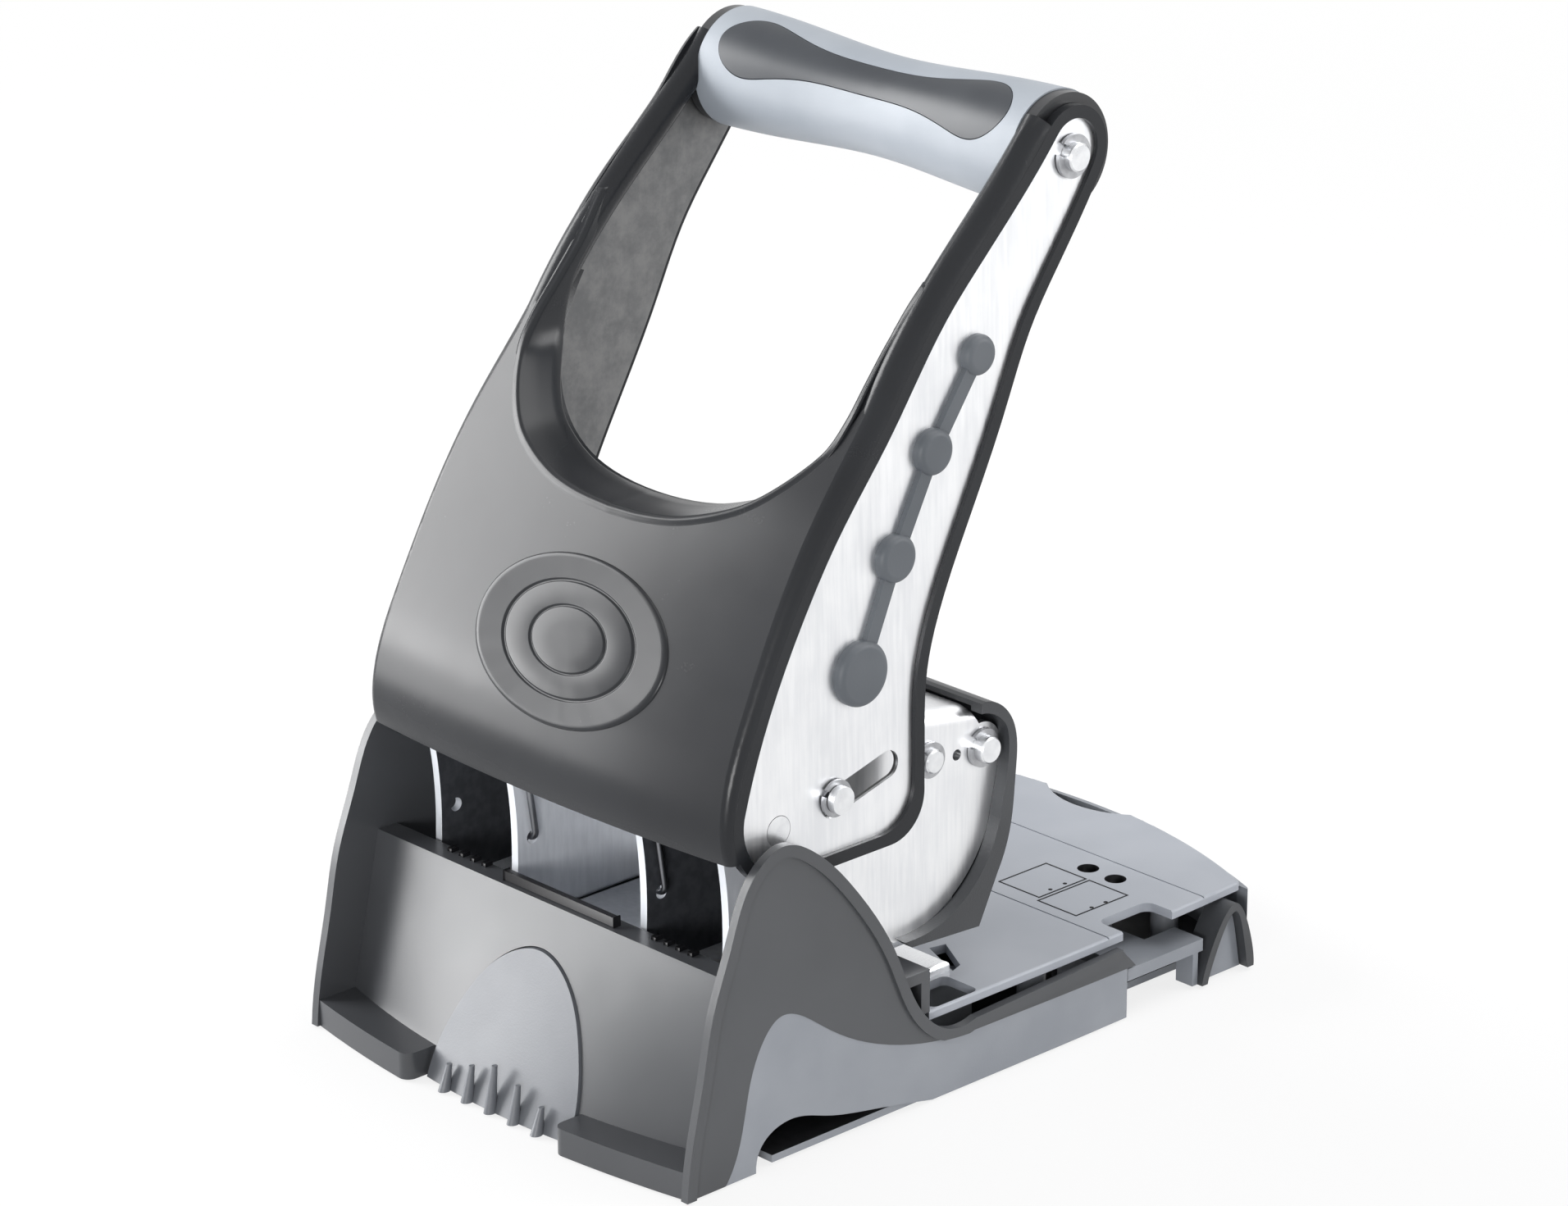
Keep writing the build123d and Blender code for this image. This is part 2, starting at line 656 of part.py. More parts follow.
def inset_prism(grow):
    """The inset's outline, larger all round by an amount, carried out from the grip's axis."""
    turn = radians(grip_inset_turn)
    right = [(x, w + grow) for x, w in grip_inset_half]
    above = [(-x, w) for x, w in reversed(right[1:])] + right
    below = [(x, -w) for x, w in reversed(above)]
    end = grip_inset_end + grow
    with BuildPart() as prism:
        with BuildSketch(Plane(origin=(0, gy, gz), x_dir=(1, 0, 0), z_dir=(0, -cos(turn), sin(turn)))):
            with BuildLine():
                Spline(*above, (end, 0), *below, (-end, 0), periodic=True)
            make_face()
        extrude(amount=2 * grip_r)
    return prism.part


with BuildPart() as grip_sleeve:
    add(grip_body(0))
    add(inset_prism(0.2) - grip_body(-grip_inset_t - seat), mode=Mode.SUBTRACT)
grip_sleeve.part.label = "grip_sleeve"
export_step(grip_sleeve.part, "parts/grip_sleeve.step")

with BuildPart() as grip_inset:
    add((inset_prism(0) & grip_body(0.1)) - grip_body(-grip_inset_t))
grip_inset.part.label = "grip_inset"
export_step(grip_inset.part, "parts/grip_inset.step")

for name, hand in (("left", -1), ("right", 1)):
    with BuildPart() as grip_collar:
        with BuildSketch(side(hand * (grip_half + seat))):
            with Locations(grip_axis):
                Circle(collar_r)
                Circle(grip_rod_d / 2 + seat, mode=Mode.SUBTRACT)
        extrude(amount=hand * (arm_half(grip_axis[1] + collar_r) - arm_t - grip_half - 2 * seat))
    grip_collar.part.label = f"grip_collar_{name}"
    export_step(grip_collar.part, f"parts/grip_collar_{name}.step")

# ---- base: plan outline shared by the housing, the lower shell and the deck ----
front_y = -112.0
side_front = (cheek_out, 10.0)
side_middle = (cheek_out - 0.3, 50.0)
side_rear = (cheek_out - 2.0, 99.6)
rear_y = 113.5
corner_r = 4.0


def plan_face(inset):
    """Plan of the base: straight in front, tapering slightly, with a curved rear edge."""
    fx, fy = side_front[0] - inset, side_front[1]
    mx, my = side_middle[0] - inset, side_middle[1]
    rx, ry = side_rear[0] - inset, side_rear[1] - inset
    with BuildSketch() as plan:
        with BuildLine():
            Polyline((-fx, fy), (-fx, front_y + inset), (fx, front_y + inset), (fx, fy))
            ThreePointArc((fx, fy), (mx, my), (rx, ry))
            ThreePointArc((rx, ry), (0, rear_y - inset), (-rx, ry))
            ThreePointArc((-rx, ry), (-mx, my), (-fx, fy))
        make_face()
        corners = plan.vertices().filter_by(lambda v: v.Y > side_middle[1])
        fillet(corners, max(corner_r - inset, 0.5))
    return plan.sketch


def plan_wall(outer, inner, low, high):
    """The plan's outline as an upright wall between two insets."""
    with BuildPart() as wall:
        with BuildSketch(Plane.XY.offset(low)):
            add(plan_face(outer))
            add(plan_face(inner), mode=Mode.SUBTRACT)
        extrude(amount=high - low)
    return wall.part


# Side views: the cheek's top edge from its front foot over the peak and down along the deck,
# and the seam between the dark housing and the lighter lower shell.
cheek_top = [
    (-108.5, 0.0), (-106.5, 15.4), (-102.8, 31.9), (-99.3, 48.4), (-93.5, 64.0), (-84.6, 82.0), (-76.0, 86.4),
    (-65.3, 82.0), (-51.0, 67.6), (-36.3, 45.0), (-27.8, 27.5), (-19.7, 20.0), (-8.0, 19.2),
]
rail_end = (47.0, 21.2)
seam = [
    (-95.4, 0.0), (-88.6, 16.1), (-83.9, 32.6), (-76.8, 40.5), (-61.1, 33.2), (-45.7, 24.0),
    (-27.2, 17.8), (-5.0, 15.4),
]
seam_end = (53.0, 14.7)


def cheek_face():
    """Side view of the housing's side, between its top edge and the seam."""
    with BuildSketch() as cheek:
        with BuildLine():
            Spline(*cheek_top)
            Polyline(cheek_top[-1], rail_end, seam_end, seam[-1])
            Spline(*reversed(seam))
            Line(seam[0], cheek_top[0])
        make_face()
    return cheek.sketch


def rim_face():
    """Side view of the raised bead along the top edge."""
    inner = moved_in(cheek_top, rim_w)
    inner[0] = (inner[0][0], 0.0)
    with BuildSketch() as rim:
        with BuildLine():
            Spline(*cheek_top)
            Polyline(cheek_top[-1], rail_end, (rail_end[0], rail_end[1] - rim_w), inner[-1])
            Spline(*reversed(inner))
            Line(inner[0], cheek_top[0])
        make_face()
    return rim.sketch


def across(face, half):
    """A side view extruded across the part, between -half and half."""
    with BuildPart() as block:
        with BuildSketch(side(-half)):
            add(face)
        extrude(amount=2 * half)
    return block.part


ridge_y = -86.0
shelf_z = 50.6
shelf_end = -79.8
arch_half = 27.5
arch_top = 40.0
tray_play = 0.4
arch_back = 83.3      # the arch lies in front of this
foot_t = 0.6          # the feet lift the mouldings off the table


def panel_block(forward):
    """Block behind the front panel: its foot bows forward, its ridge is straight."""
    with BuildPart() as block:
        with BuildSketch(Plane.XY):
            with BuildLine():
                ThreePointArc((-cheek_in, -97.0 - forward), (0, -108.5 - forward), (cheek_in, -97.0 - forward))
                Polyline((cheek_in, -97.0 - forward), (cheek_in, -60), (-cheek_in, -60), (-cheek_in, -97.0 - forward))
            make_face()
        with BuildSketch(Plane.XY.offset(shelf_z)):
            with BuildLine():
                ThreePointArc((-cheek_in, ridge_y - forward), (0, ridge_y - 0.2 - forward), (cheek_in, ridge_y - forward))
                Polyline((cheek_in, ridge_y - forward), (cheek_in, -60), (-cheek_in, -60), (-cheek_in, ridge_y - forward))
            make_face()
        loft()
    return block.part


def arch_prism(grow):
    """Prism along Y with the outline of the chip tray's arched front."""
    w = arch_half + grow
    h = arch_top + grow
    right = [(w, 0.0), (w - 0.3, 8.0), (w - 4.5, 21.0), (w - 13.5, 34.0)]
    left = [(-x, z) for x, z in reversed(right)]
    with BuildPart() as prism:
        with BuildSketch(Plane.XZ.offset(arch_back)):
            with BuildLine():
                Spline(*right, (0, h), *left)
                Line(left[-1], right[0])
            make_face()
        extrude(amount=100)
    return prism.part


with BuildPart() as housing:
    # cheeks and side rails, then the rim bead along their top edge
    add(across(cheek_face(), rim_out + 1) & plan_wall(0, cheek_out - cheek_in, 0, 120))
    add(across(rim_face() & cheek_face(), rim_out + 1) & plan_wall(cheek_out - rim_out, cheek_out - cheek_in, 0, 120))
    # front panel and shelf
    add(panel_block(0))
    add(panel_block(-panel_t - 0.01), mode=Mode.SUBTRACT)
    with BuildSketch(side(-cheek_in)):
        with BuildLine():
            Polyline(
                (ridge_y + 1, shelf_z - panel_t), (ridge_y + 1, shelf_z), (shelf_end, shelf_z),
                (shelf_end, frame_z), (stop_y, frame_z), (stop_y, deck_top + seat),
                (stop_y - platform_t, deck_top + seat), (stop_y - platform_t, frame_z - platform_t),
                (shelf_end - platform_t, frame_z - platform_t), (shelf_end - platform_t, shelf_z - panel_t),
                close=True,
            )
        make_face()
    extrude(amount=2 * cheek_in)
    # lips along the foot of the panel
    with BuildSketch(Plane.XY) as lips:
        with BuildLine():
            ThreePointArc((-cheek_in, -107.5), (0, -114.5), (cheek_in, -107.5))
            Line((cheek_in, -107.5), (cheek_in, -95))
            ThreePointArc((cheek_in, -95), (0, -105.0), (-cheek_in, -95))
            Line((-cheek_in, -95), (-cheek_in, -107.5))
        make_face()
        Rectangle(2 * arch_half + 2, 300, mode=Mode.SUBTRACT)
        fillet(lips.vertices().filter_by(lambda v: abs(v.X) < arch_half + 2 and v.Y < -109), lip_end_r)
    extrude(amount=8)
    # opening for the tray and its front
    add(arch_prism(tray_play), mode=Mode.SUBTRACT)
    # bosses for the frame screws
    for hand in (-1, 1):
        for y in frame_screw_y:
            with Locations((hand * frame_x, y, frame_z)):
                Cylinder(screw_d, screw_l + 1, align=(Align.CENTER, Align.CENTER, Align.MAX))
                Cylinder(screw_d / 2 + seat, screw_l + 0.4, align=(Align.CENTER, Align.CENTER, Align.MAX), mode=Mode.SUBTRACT)
    with Locations((0, 0, foot_t)):
        Box(300, 300, 10, align=(Align.CENTER, Align.CENTER, Align.MAX), mode=Mode.SUBTRACT)
housing.part.label = "housing"
export_step(housing.part, "parts/housing.step")

# ---- lower shell: lighter skirt under the seam, floor, posts, chutes and guide rails ----
skirt_t = 1.5
floor_t = 2.0
deck_under = deck_top - deck_t
skirt_arch = [(-84.5, 0.0), (-80.7, 9.2), (-72.0, 11.6), (-60.6, 8.6), (-42.5, 4.6), (-20.0, 0.0)]
tray_half = 25.5
tray_h = 12.5
tray_rear = 10.0
tray_front = 102.0    # the drawer runs from here, in front of the origin
post_points = [(-60, 26), (60, 26), (-60, 88), (50, 88)]
guide_y = (52.0, 68.0)
guide_z = (10.5, 14.0)
guide_ribs = (-30, 10, 45)
bay_y = (49.8, 99.4)  # recess in the right side for the guide
bay_x = cheek_out - 12.0


def skirt_face():
    """Side view of the lower shell: seam on top, raised arch in its lower edge."""
    with BuildSketch() as skirt:
        with BuildLine():
            Spline(*seam)
            Polyline(
                seam[-1], seam_end, (seam_end[0], deck_under - seat), (rear_y + 2, deck_under - seat),
                (rear_y + 2, 0), skirt_arch[-1],
            )
            Spline(*reversed(skirt_arch))
            Line(skirt_arch[0], seam[0])
        make_face()
    return skirt.sketch


with BuildPart() as lower_shell:
    add(across(skirt_face(), rim_out) & plan_wall(0.1, skirt_t, foot_t, 60))
    with BuildSketch(Plane.XY.offset(foot_t + 0.4)):
        add(plan_face(skirt_t - 0.2))
        with Locations((0, front_y)):
            Rectangle(200, 2 * (112 - 78), mode=Mode.SUBTRACT)
        with Locations((0, tray_rear + 1)):
            Rectangle(2 * tray_half + 1, 300, align=(Align.CENTER, Align.MAX), mode=Mode.SUBTRACT)
    extrude(amount=floor_t)
    # posts under the deck
    for x, y in post_points:
        with Locations((x, y, foot_t + 1)):
            Cylinder(3.8, deck_under - foot_t - 1, align=(Align.CENTER, Align.CENTER, Align.MIN))
    # tray rails and chip chutes
    for hand in (-1, 1):
        with BuildSketch(Plane.XZ.offset(-tray_rear)):
            with BuildLine():
                inner_x = hand * (tray_half + 0.5)
                Polyline(
                    (inner_x, foot_t + 1), (inner_x, tray_h + 1.5), (hand * 52, deck_under - 1),
                    (hand * 54, deck_under - 1), (hand * 54, foot_t + 1), (hand * 52.4, foot_t + 1),
                    (hand * 52.4, deck_under - 3), (inner_x + hand * 1.6, tray_h), (inner_x + hand * 1.6, foot_t + 1),
                    close=True,
                )
            make_face()
        extrude(amount=tray_rear - stop_y + 4)
    # guide ribs
    for x in guide_ribs:
        with BuildSketch(side(x)):
            with BuildLine():
                Polyline(
                    (guide_y[0] - 2.5, foot_t + 1), (guide_y[0] - 2.5, guide_z[1] + 2), (guide_y[0] - gap, guide_z[1] + 2),
                    (guide_y[0] - gap, guide_z[0] - gap), (guide_y[1] + gap, guide_z[0] - gap),
                    (guide_y[1] + gap, guide_z[1] + 2), (guide_y[1] + 2.5, guide_z[1] + 2), (guide_y[1] + 2.5, foot_t + 1),
                    close=True,
                )
            make_face()
        extrude(amount=2)
    # bay for the guide's end
    with Locations((bay_x, bay_y[0], -1)):
        Box(30, bay_y[1] - bay_y[0], deck_top, align=(Align.MIN, Align.MIN, Align.MIN), mode=Mode.SUBTRACT)
    # screw holes in the posts
    for x, y in post_points:
        with Locations((x, y, 0)):
            Cylinder(1.7, 14, align=(Align.CENTER, Align.CENTER, Align.MIN), mode=Mode.SUBTRACT)
            Cylinder(3.2, foot_t + 1.4, align=(Align.CENTER, Align.CENTER, Align.MIN), mode=Mode.SUBTRACT)
lower_shell.part.label = "lower_shell"
export_step(lower_shell.part, "parts/lower_shell.step")

with BuildPart() as base_screws:
    for x, y in post_points:
        with Locations((x, y, foot_t + 0.2)):
            Cylinder(3.0, 1.0, align=(Align.CENTER, Align.CENTER, Align.MIN))
            Cylinder(1.6, 12, align=(Align.CENTER, Align.CENTER, Align.MIN))
base_screws.part.label = "base_screws"
export_step(base_screws.part, "parts/base_screws.step")

foot_points = [(-62, -70), (62, -70), (-62, 46), (54, 46), (-46, 98), (36, 98)]
with BuildPart() as rubber_feet:
    for x, y in foot_points:
        with Locations((x, y, 0)):
            Cylinder(5.5, foot_t + 0.4, align=(Align.CENTER, Align.CENTER, Align.MIN))
rubber_feet.part.label = "rubber_feet"
export_step(rubber_feet.part, "parts/rubber_feet.step")

# ---- paper deck ----
deck_in = 2.1         # from the base's outline
window_points = [(34.3, 74.3), (44.4, 74.3)]
finger_half = 17.0
finger_depth = 6.5
groove_y = (44.5, 82.5)
groove_w = 0.5
pocket_x = (frame_out + 1.0, cheek_out - 2.8)
pocket_y = (-20.0, -3.5)
slot_points = [(42.3, 5.8), (43.4, 10.8), (55.5, 4.1), (56.9, -0.1)]
with BuildPart() as paper_deck:
    with BuildSketch(Plane.XY.offset(deck_under)):
        add(plan_face(deck_in))
        with Locations((0, stop_y + gap)):
            Rectangle(200, 300, align=(Align.CENTER, Align.MAX), mode=Mode.SUBTRACT)
        # finger notch in the rear edge
        finger_r = (finger_half ** 2 + finger_depth ** 2) / (2 * finger_depth)
        with Locations((0, rear_y - deck_in - finger_depth + finger_r)):
            Circle(finger_r, mode=Mode.SUBTRACT)
    extrude(amount=deck_t)
    fillet(paper_deck.faces().sort_by(Axis.Z)[-1].outer_wire().edges(), 0.8)
    with BuildSketch(Plane.XY.offset(deck_under)):
        # notch over the guide
        with Locations((bay_x, guide_y[0] - 2)):
            RectangleRounded(40, 19.5, 3, align=(Align.MIN, Align.MIN))
        for x, y in window_points:
            with Locations((x, y)):
                Circle(3)
        for hand in (-1, 1):
            with Locations((hand * frame_x, punch_line)):
                Circle(5)
            with Locations((hand * (pocket_x[0] + pocket_x[1]) / 2, (pocket_y[0] + pocket_y[1]) / 2)):
                RectangleRounded(pocket_x[1] - pocket_x[0], pocket_y[1] - pocket_y[0], 2)
            with BuildLine():
                Polyline(*[(hand * x, y) for x, y in slot_points], close=True)
            make_face()
    extrude(amount=deck_t, mode=Mode.SUBTRACT)
    # grooves across the top
    for y in groove_y:
        with Locations((0, y, deck_top)):
            Box(200, groove_w, 2 * groove_w, mode=Mode.SUBTRACT)
paper_deck.part.label = "paper_deck"
export_step(paper_deck.part, "parts/paper_deck.step")

# ---- die plate ----
with BuildPart() as die_plate:
    with BuildSketch(Plane.XY.offset(deck_top)):
        with Locations((0, stop_y + 1.2)):
            Rectangle(2 * frame_out - 1, die_depth, align=(Align.CENTER, Align.MIN))
        for hand in (-1, 1):
            with Locations((hand * frame_x, punch_line)):
                Circle(punch_d / 2 + running, mode=Mode.SUBTRACT)
    extrude(amount=die_t)
    fillet(die_plate.faces().sort_by(Axis.Z)[-1].outer_wire().edges(), 1.2)
die_plate.part.label = "die_plate"
export_step(die_plate.part, "parts/die_plate.step")

# ---- chip tray: drawer with an arched, ribbed front ----
rib_pitch = 9.0
rib_heights = (7.0, 9.5, 12.5, 10.0, 7.0)
with BuildPart() as chip_tray:
    add((panel_block(0.8) - panel_block(-1.6)) & arch_prism(0))
    with Locations((0, tray_rear, foot_t + 0.2)):
        Box(2 * tray_half, tray_rear + tray_front, tray_h - foot_t - 0.2, align=(Align.CENTER, Align.MAX, Align.MIN))
    with Locations((0, tray_rear - 1.6, foot_t + 1.8)):
        Box(2 * tray_half - 3.2, tray_rear + tray_front - 3.2, tray_h, align=(Align.CENTER, Align.MAX, Align.MIN), mode=Mode.SUBTRACT)
    for i, height in enumerate(rib_heights):
        x = (i - 2) * rib_pitch
        with BuildSketch(Plane.XY.offset(foot_t)):
            with Locations((x, -109.5)):
                Ellipse(1.5, 1.8)
        with BuildSketch(Plane.XY.offset(height + foot_t)):
            with Locations((x, -107.6)):
                Ellipse(0.7, 0.8)
        loft()
    with Locations((0, 0, foot_t)):
        Box(300, 300, 10, align=(Align.CENTER, Align.CENTER, Align.MAX), mode=Mode.SUBTRACT)
chip_tray.part.label = "chip_tray"
export_step(chip_tray.part, "parts/chip_tray.step")

# ---- paper guide: sliding bar with a foot and a gusset, and its arched end stop ----
stop_foot = [(78.2, 1.0), (82.5, 12.5), (91.0, 21.4), (96.3, 13.0), (98.6, 1.0)]
stop_x = (cheek_out - 7.2, cheek_out + 0.6)
stop_t = 2.4
with BuildPart() as paper_guide:
    with Locations((-40, guide_y[0], guide_z[0])):
        Box(40 + stop_x[0] - 2, guide_y[1] - guide_y[0], guide_z[1] - guide_z[0], align=Align.MIN)
    with Locations((bay_x + 0.6, guide_y[0] - 1.4, guide_z[0])):
        Box(10.4, stop_foot[0][0] - guide_y[0] + 3, guide_z[1] - guide_z[0], align=Align.MIN)
    with Locations((stop_x[0], stop_foot[0][0] - 2, 1.0)):
        Box(6.0, 2, guide_z[1] - 1.0, align=Align.MIN)
    with BuildSketch(side(stop_x[0] + 3)):
        with BuildLine():
            inside = moved_in(stop_foot, stop_t + 0.25)
            Spline((inside[0][0], 1.0), *inside[1:-1], (inside[-1][0], 1.0))
            Line((inside[-1][0], 1.0), (inside[0][0], 1.0))
        make_face()
    extrude(amount=2)
    with Locations((stop_x[0] + 3, stop_foot[0][0] - 2, 1.0)):
        Box(2, stop_t + 5, 4, align=Align.MIN)
paper_guide.part.label = "paper_guide"
export_step(paper_guide.part, "parts/paper_guide.step")

with BuildPart() as guide_stop:
    with BuildSketch(side(stop_x[0])):
        with BuildLine():
            inside = moved_in(stop_foot, stop_t)
            low = [(inside[0][0], 1.0), *inside[1:-1], (inside[-1][0], 1.0)]
            Spline(*stop_foot)
            Line(stop_foot[-1], low[-1])
            Spline(*reversed(low))
            Line(low[0], stop_foot[0])
        make_face()
    extrude(amount=stop_x[1] - stop_x[0])
    with Locations((stop_x[0] + 3 - seat, stop_foot[0][0] - 3, 0)):
        Box(2 + 2 * seat, stop_t + 7, 5 + seat, align=Align.MIN, mode=Mode.SUBTRACT)
guide_stop.part.label = "guide_stop"
export_step(guide_stop.part, "parts/guide_stop.step")

# ---- return springs: a coil round the handle shaft and a leg hooked into the frame ----
wire_d = 1.8
coil_r = 6.0
coil_turns = 7
for name, frame_side in (("left", -frame_x + frame_w / 2), ("right", frame_x - frame_w / 2 + frame_t)):
    hy, hz = handle_axis
    start_x = frame_side + 0.5
    with BuildPart() as return_spring:
        with BuildSketch(Plane.XY.offset(hz)):
            for turn in range(coil_turns):
                with Locations((start_x + wire_d / 2 + turn * wire_d * 0.94, hy + coil_r)):
                    Circle(wire_d / 2)
        revolve(axis=Axis((0, hy, hz), (1, 0, 0)))
        leg_x = start_x + wire_d / 2
        with BuildLine() as leg:
            FilletPolyline(
                (leg_x, hy - coil_r, hz),
                (leg_x, spring_hole[0] - 0.2, spring_hole[1]),
                (frame_side - frame_t - 0.8, *spring_hole),
                radius=1.4,
            )
        with BuildSketch(Plane(origin=leg.line @ 0, z_dir=leg.line % 0)):
            Circle(wire_d / 2)
        sweep(path=leg.line)
    return_spring.part.label = f"return_spring_{name}"
    export_step(return_spring.part, f"parts/return_spring_{name}.step")
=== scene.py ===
from math import pi, radians

import bpy
import numpy as np
from mathutils import Matrix, Vector
from mathutils.bvhtree import BVHTree


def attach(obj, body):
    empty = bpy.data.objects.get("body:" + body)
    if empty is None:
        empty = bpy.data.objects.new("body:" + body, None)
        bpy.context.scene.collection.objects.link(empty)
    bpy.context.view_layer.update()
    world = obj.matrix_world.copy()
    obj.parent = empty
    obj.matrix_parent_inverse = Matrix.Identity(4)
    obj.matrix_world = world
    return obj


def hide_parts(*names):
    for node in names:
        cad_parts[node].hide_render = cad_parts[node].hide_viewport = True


# A two-hole desk punch with a tall lever handle, dressed piece by piece in the order of assembly.
# Metres, in the frame of the CAD: X to the right, Y to the rear (the paper side), Z up.
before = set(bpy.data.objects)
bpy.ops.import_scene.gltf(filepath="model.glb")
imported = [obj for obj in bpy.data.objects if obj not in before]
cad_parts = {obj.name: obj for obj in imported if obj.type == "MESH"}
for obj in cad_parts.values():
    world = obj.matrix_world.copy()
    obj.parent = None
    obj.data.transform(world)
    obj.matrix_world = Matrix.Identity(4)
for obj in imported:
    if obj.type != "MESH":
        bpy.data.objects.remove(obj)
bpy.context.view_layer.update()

# ----------------------------------------------------------------------------------------------
# View: a long lens that looks at the whole punch from the right and the front, from a little
# above the handle, with the punch upright.
# ----------------------------------------------------------------------------------------------
view_azimuth = 46.668
view_elevation = 20.328
view_roll = -0.166
view_place = (0.98177, -0.93227, 0.61243)
view_lens = 127.29
view_sensor = 36.0
view_nearest = 0.05

camera = bpy.data.objects.new("camera", bpy.data.cameras.new("camera"))
bpy.context.scene.collection.objects.link(camera)
camera.data.lens = view_lens
camera.data.sensor_width = view_sensor
camera.data.clip_start = view_nearest
camera.matrix_world = (
    Matrix.Translation(view_place)
    @ Matrix.Rotation(radians(view_azimuth), 4, "Z")
    @ Matrix.Rotation(radians(90 - view_elevation), 4, "X")
    @ Matrix.Rotation(radians(view_roll), 4, "Z")
)
bpy.context.scene.camera = camera
bpy.context.scene.view_settings.view_transform = "Standard"

# ----------------------------------------------------------------------------------------------
# Studio: a white surround that gloss and metal see, one broad lamp at the left that draws the
# gradients across the dark plastic, weaker ones in front, at the right and above, and a paper floor.
# ----------------------------------------------------------------------------------------------


class Value:
    """A socket of a node tree. Arithmetic on values adds Math nodes."""

    def __init__(self, socket):
        self.socket = socket

    def node(self, kind, settings=None, inputs=None, out=0):
        """Any other node: its settings are set first, then the values or links of its inputs."""
        tree = self.socket.id_data
        new = tree.nodes.new(kind)
        for key, value in (settings or {}).items():
            setattr(new, key, value)
        for key, value in (inputs or {}).items():
            if isinstance(value, Value):
                tree.links.new(value.socket, new.inputs[key])
            else:
                new.inputs[key].default_value = value
        return Value(new.outputs[out]) if len(new.outputs) else None

    def math(self, operation, *others):
        """One Math node on this value and the others."""
        return self.node("ShaderNodeMath", {"operation": operation}, dict(enumerate((self, *others))))

    def between(self, low, high):
        """0 at or below low, 1 at or above high, smooth between."""
        ends = {0: self, 1: low, 2: high}
        return self.node("ShaderNodeMapRange", {"interpolation_type": "SMOOTHSTEP"}, ends)

    def mix(self, first, second):
        """The first colour where this value is 0, the second where it is 1. A colour is a value or three
        numbers."""
        ends = [end if isinstance(end, Value) else (*end, 1) for end in (first, second)]
        return self.node("ShaderNodeMix", {"data_type": "RGBA"}, {0: self, 6: ends[0], 7: ends[1]}, out=2)

    def noise(self, scale, detail, **more):
        """Soft noise about a half, with this value as its place and so many waves to the metre."""
        return self.node("ShaderNodeTexNoise", {}, {"Vector": self, "Scale": scale, "Detail": detail, **more})

    def __add__(self, other):
        return self.math("ADD", other)

    def __mul__(self, other):
        return self.math("MULTIPLY", other)

    def __sub__(self, other):
        return self.math("SUBTRACT", other)

    def __rsub__(self, other):
        return (self * -1) + other

    __radd__ = __add__
    __rmul__ = __mul__


def light_paths(tree):
    """1 for rays from the camera, off gloss and through glass, and 0 for the rays that light the part."""
    path = tree.nodes.new("ShaderNodeLightPath").outputs
    kinds = [Value(path[kind]) for kind in ("Is Camera Ray", "Is Glossy Ray", "Is Transmission Ray")]
    return (kinds[0] + kinds[1] + kinds[2]).math("MINIMUM", 1.0)


pure_white = (1, 1, 1, 1)
surround_light = 0.3    # what the surround gives to the rays that light the part
world = bpy.data.worlds.new("studio")
bpy.context.scene.world = world
world.use_nodes = True
world.node_tree.nodes.clear()
seen = light_paths(world.node_tree)
strength = seen * (1.0 - surround_light) + surround_light
surround = seen.node("ShaderNodeBackground", {}, {"Color": pure_white, "Strength": strength})
surround.node("ShaderNodeOutputWorld", {}, {"Surface": surround})


def lamp(name, place, target, width, height, power):
    """A rectangular soft lamp at a place, turned to face a target."""
    light = bpy.data.lights.new(name, "AREA")
    light.shape = "RECTANGLE"
    light.size, light.size_y, light.energy = width, height, power
    holder = bpy.data.objects.new(name, light)
    bpy.context.scene.collection.objects.link(holder)
    turn = (Vector(target) - Vector(place)).to_track_quat("-Z", "Y")
    holder.matrix_world = Matrix.Translation(place) @ turn.to_matrix().to_4x4()


middle = (0.0, 0.0, 0.12)
cover_foot = (-0.06, -0.1, 0.06)
lamp("lamp_left", (-1.42, -0.76, 0.68), middle, width=1.05, height=1.1, power=38)
lamp("lamp_front", (-0.42, -0.42, 0.1), cover_foot, width=0.26, height=0.2, power=1.1)
lamp("lamp_fill", (0.8, -1.2, 0.3), middle, width=0.5, height=0.3, power=9)
lamp("lamp_right", (1.15, 1.1, 0.5), middle, width=0.35, height=0.7, power=8)
lamp("lamp_top", (0.3, 0.6, 1.4), middle, width=1.2, height=1.2, power=14)

floor_reach = 8.0
floor_mesh = bpy.data.meshes.new("floor")
floor_corners = [(x * floor_reach, y * floor_reach, 0) for x, y in ((-1, -1), (1, -1), (1, 1), (-1, 1))]
floor_mesh.from_pydata(floor_corners, [], [(0, 1, 2, 3)])
floor = bpy.data.objects.new("floor", floor_mesh)
bpy.context.scene.collection.objects.link(floor)

# The floor keeps the punch's shadow near it, and further off it is as white as the surround.
paper_near, paper_far = 0.25, 1.2    # from the middle of the punch
glow_near = 0.8                      # the share of plain white near the punch
paper = bpy.data.materials.new("floor_paper")
paper.use_nodes = True
paper.node_tree.nodes.clear()
paper_seen = light_paths(paper.node_tree)
fibres = paper_seen.node("ShaderNodeTexNoise", {}, {"Scale": 40.0, "Detail": 4.0})
paper_shade = fibres.mix((0.86, 0.86, 0.87), (0.9, 0.9, 0.9))
matt = paper_seen.node("ShaderNodeBsdfDiffuse", {}, {"Color": paper_shade})
white = paper_seen.node("ShaderNodeEmission", {}, {"Color": pure_white, "Strength": 1.0})
paper_place = Value(paper.node_tree.nodes.new("ShaderNodeTexCoord").outputs["Object"])
off_middle = paper_place.node("ShaderNodeVectorMath", {"operation": "LENGTH"}, {0: paper_place}, out="Value")
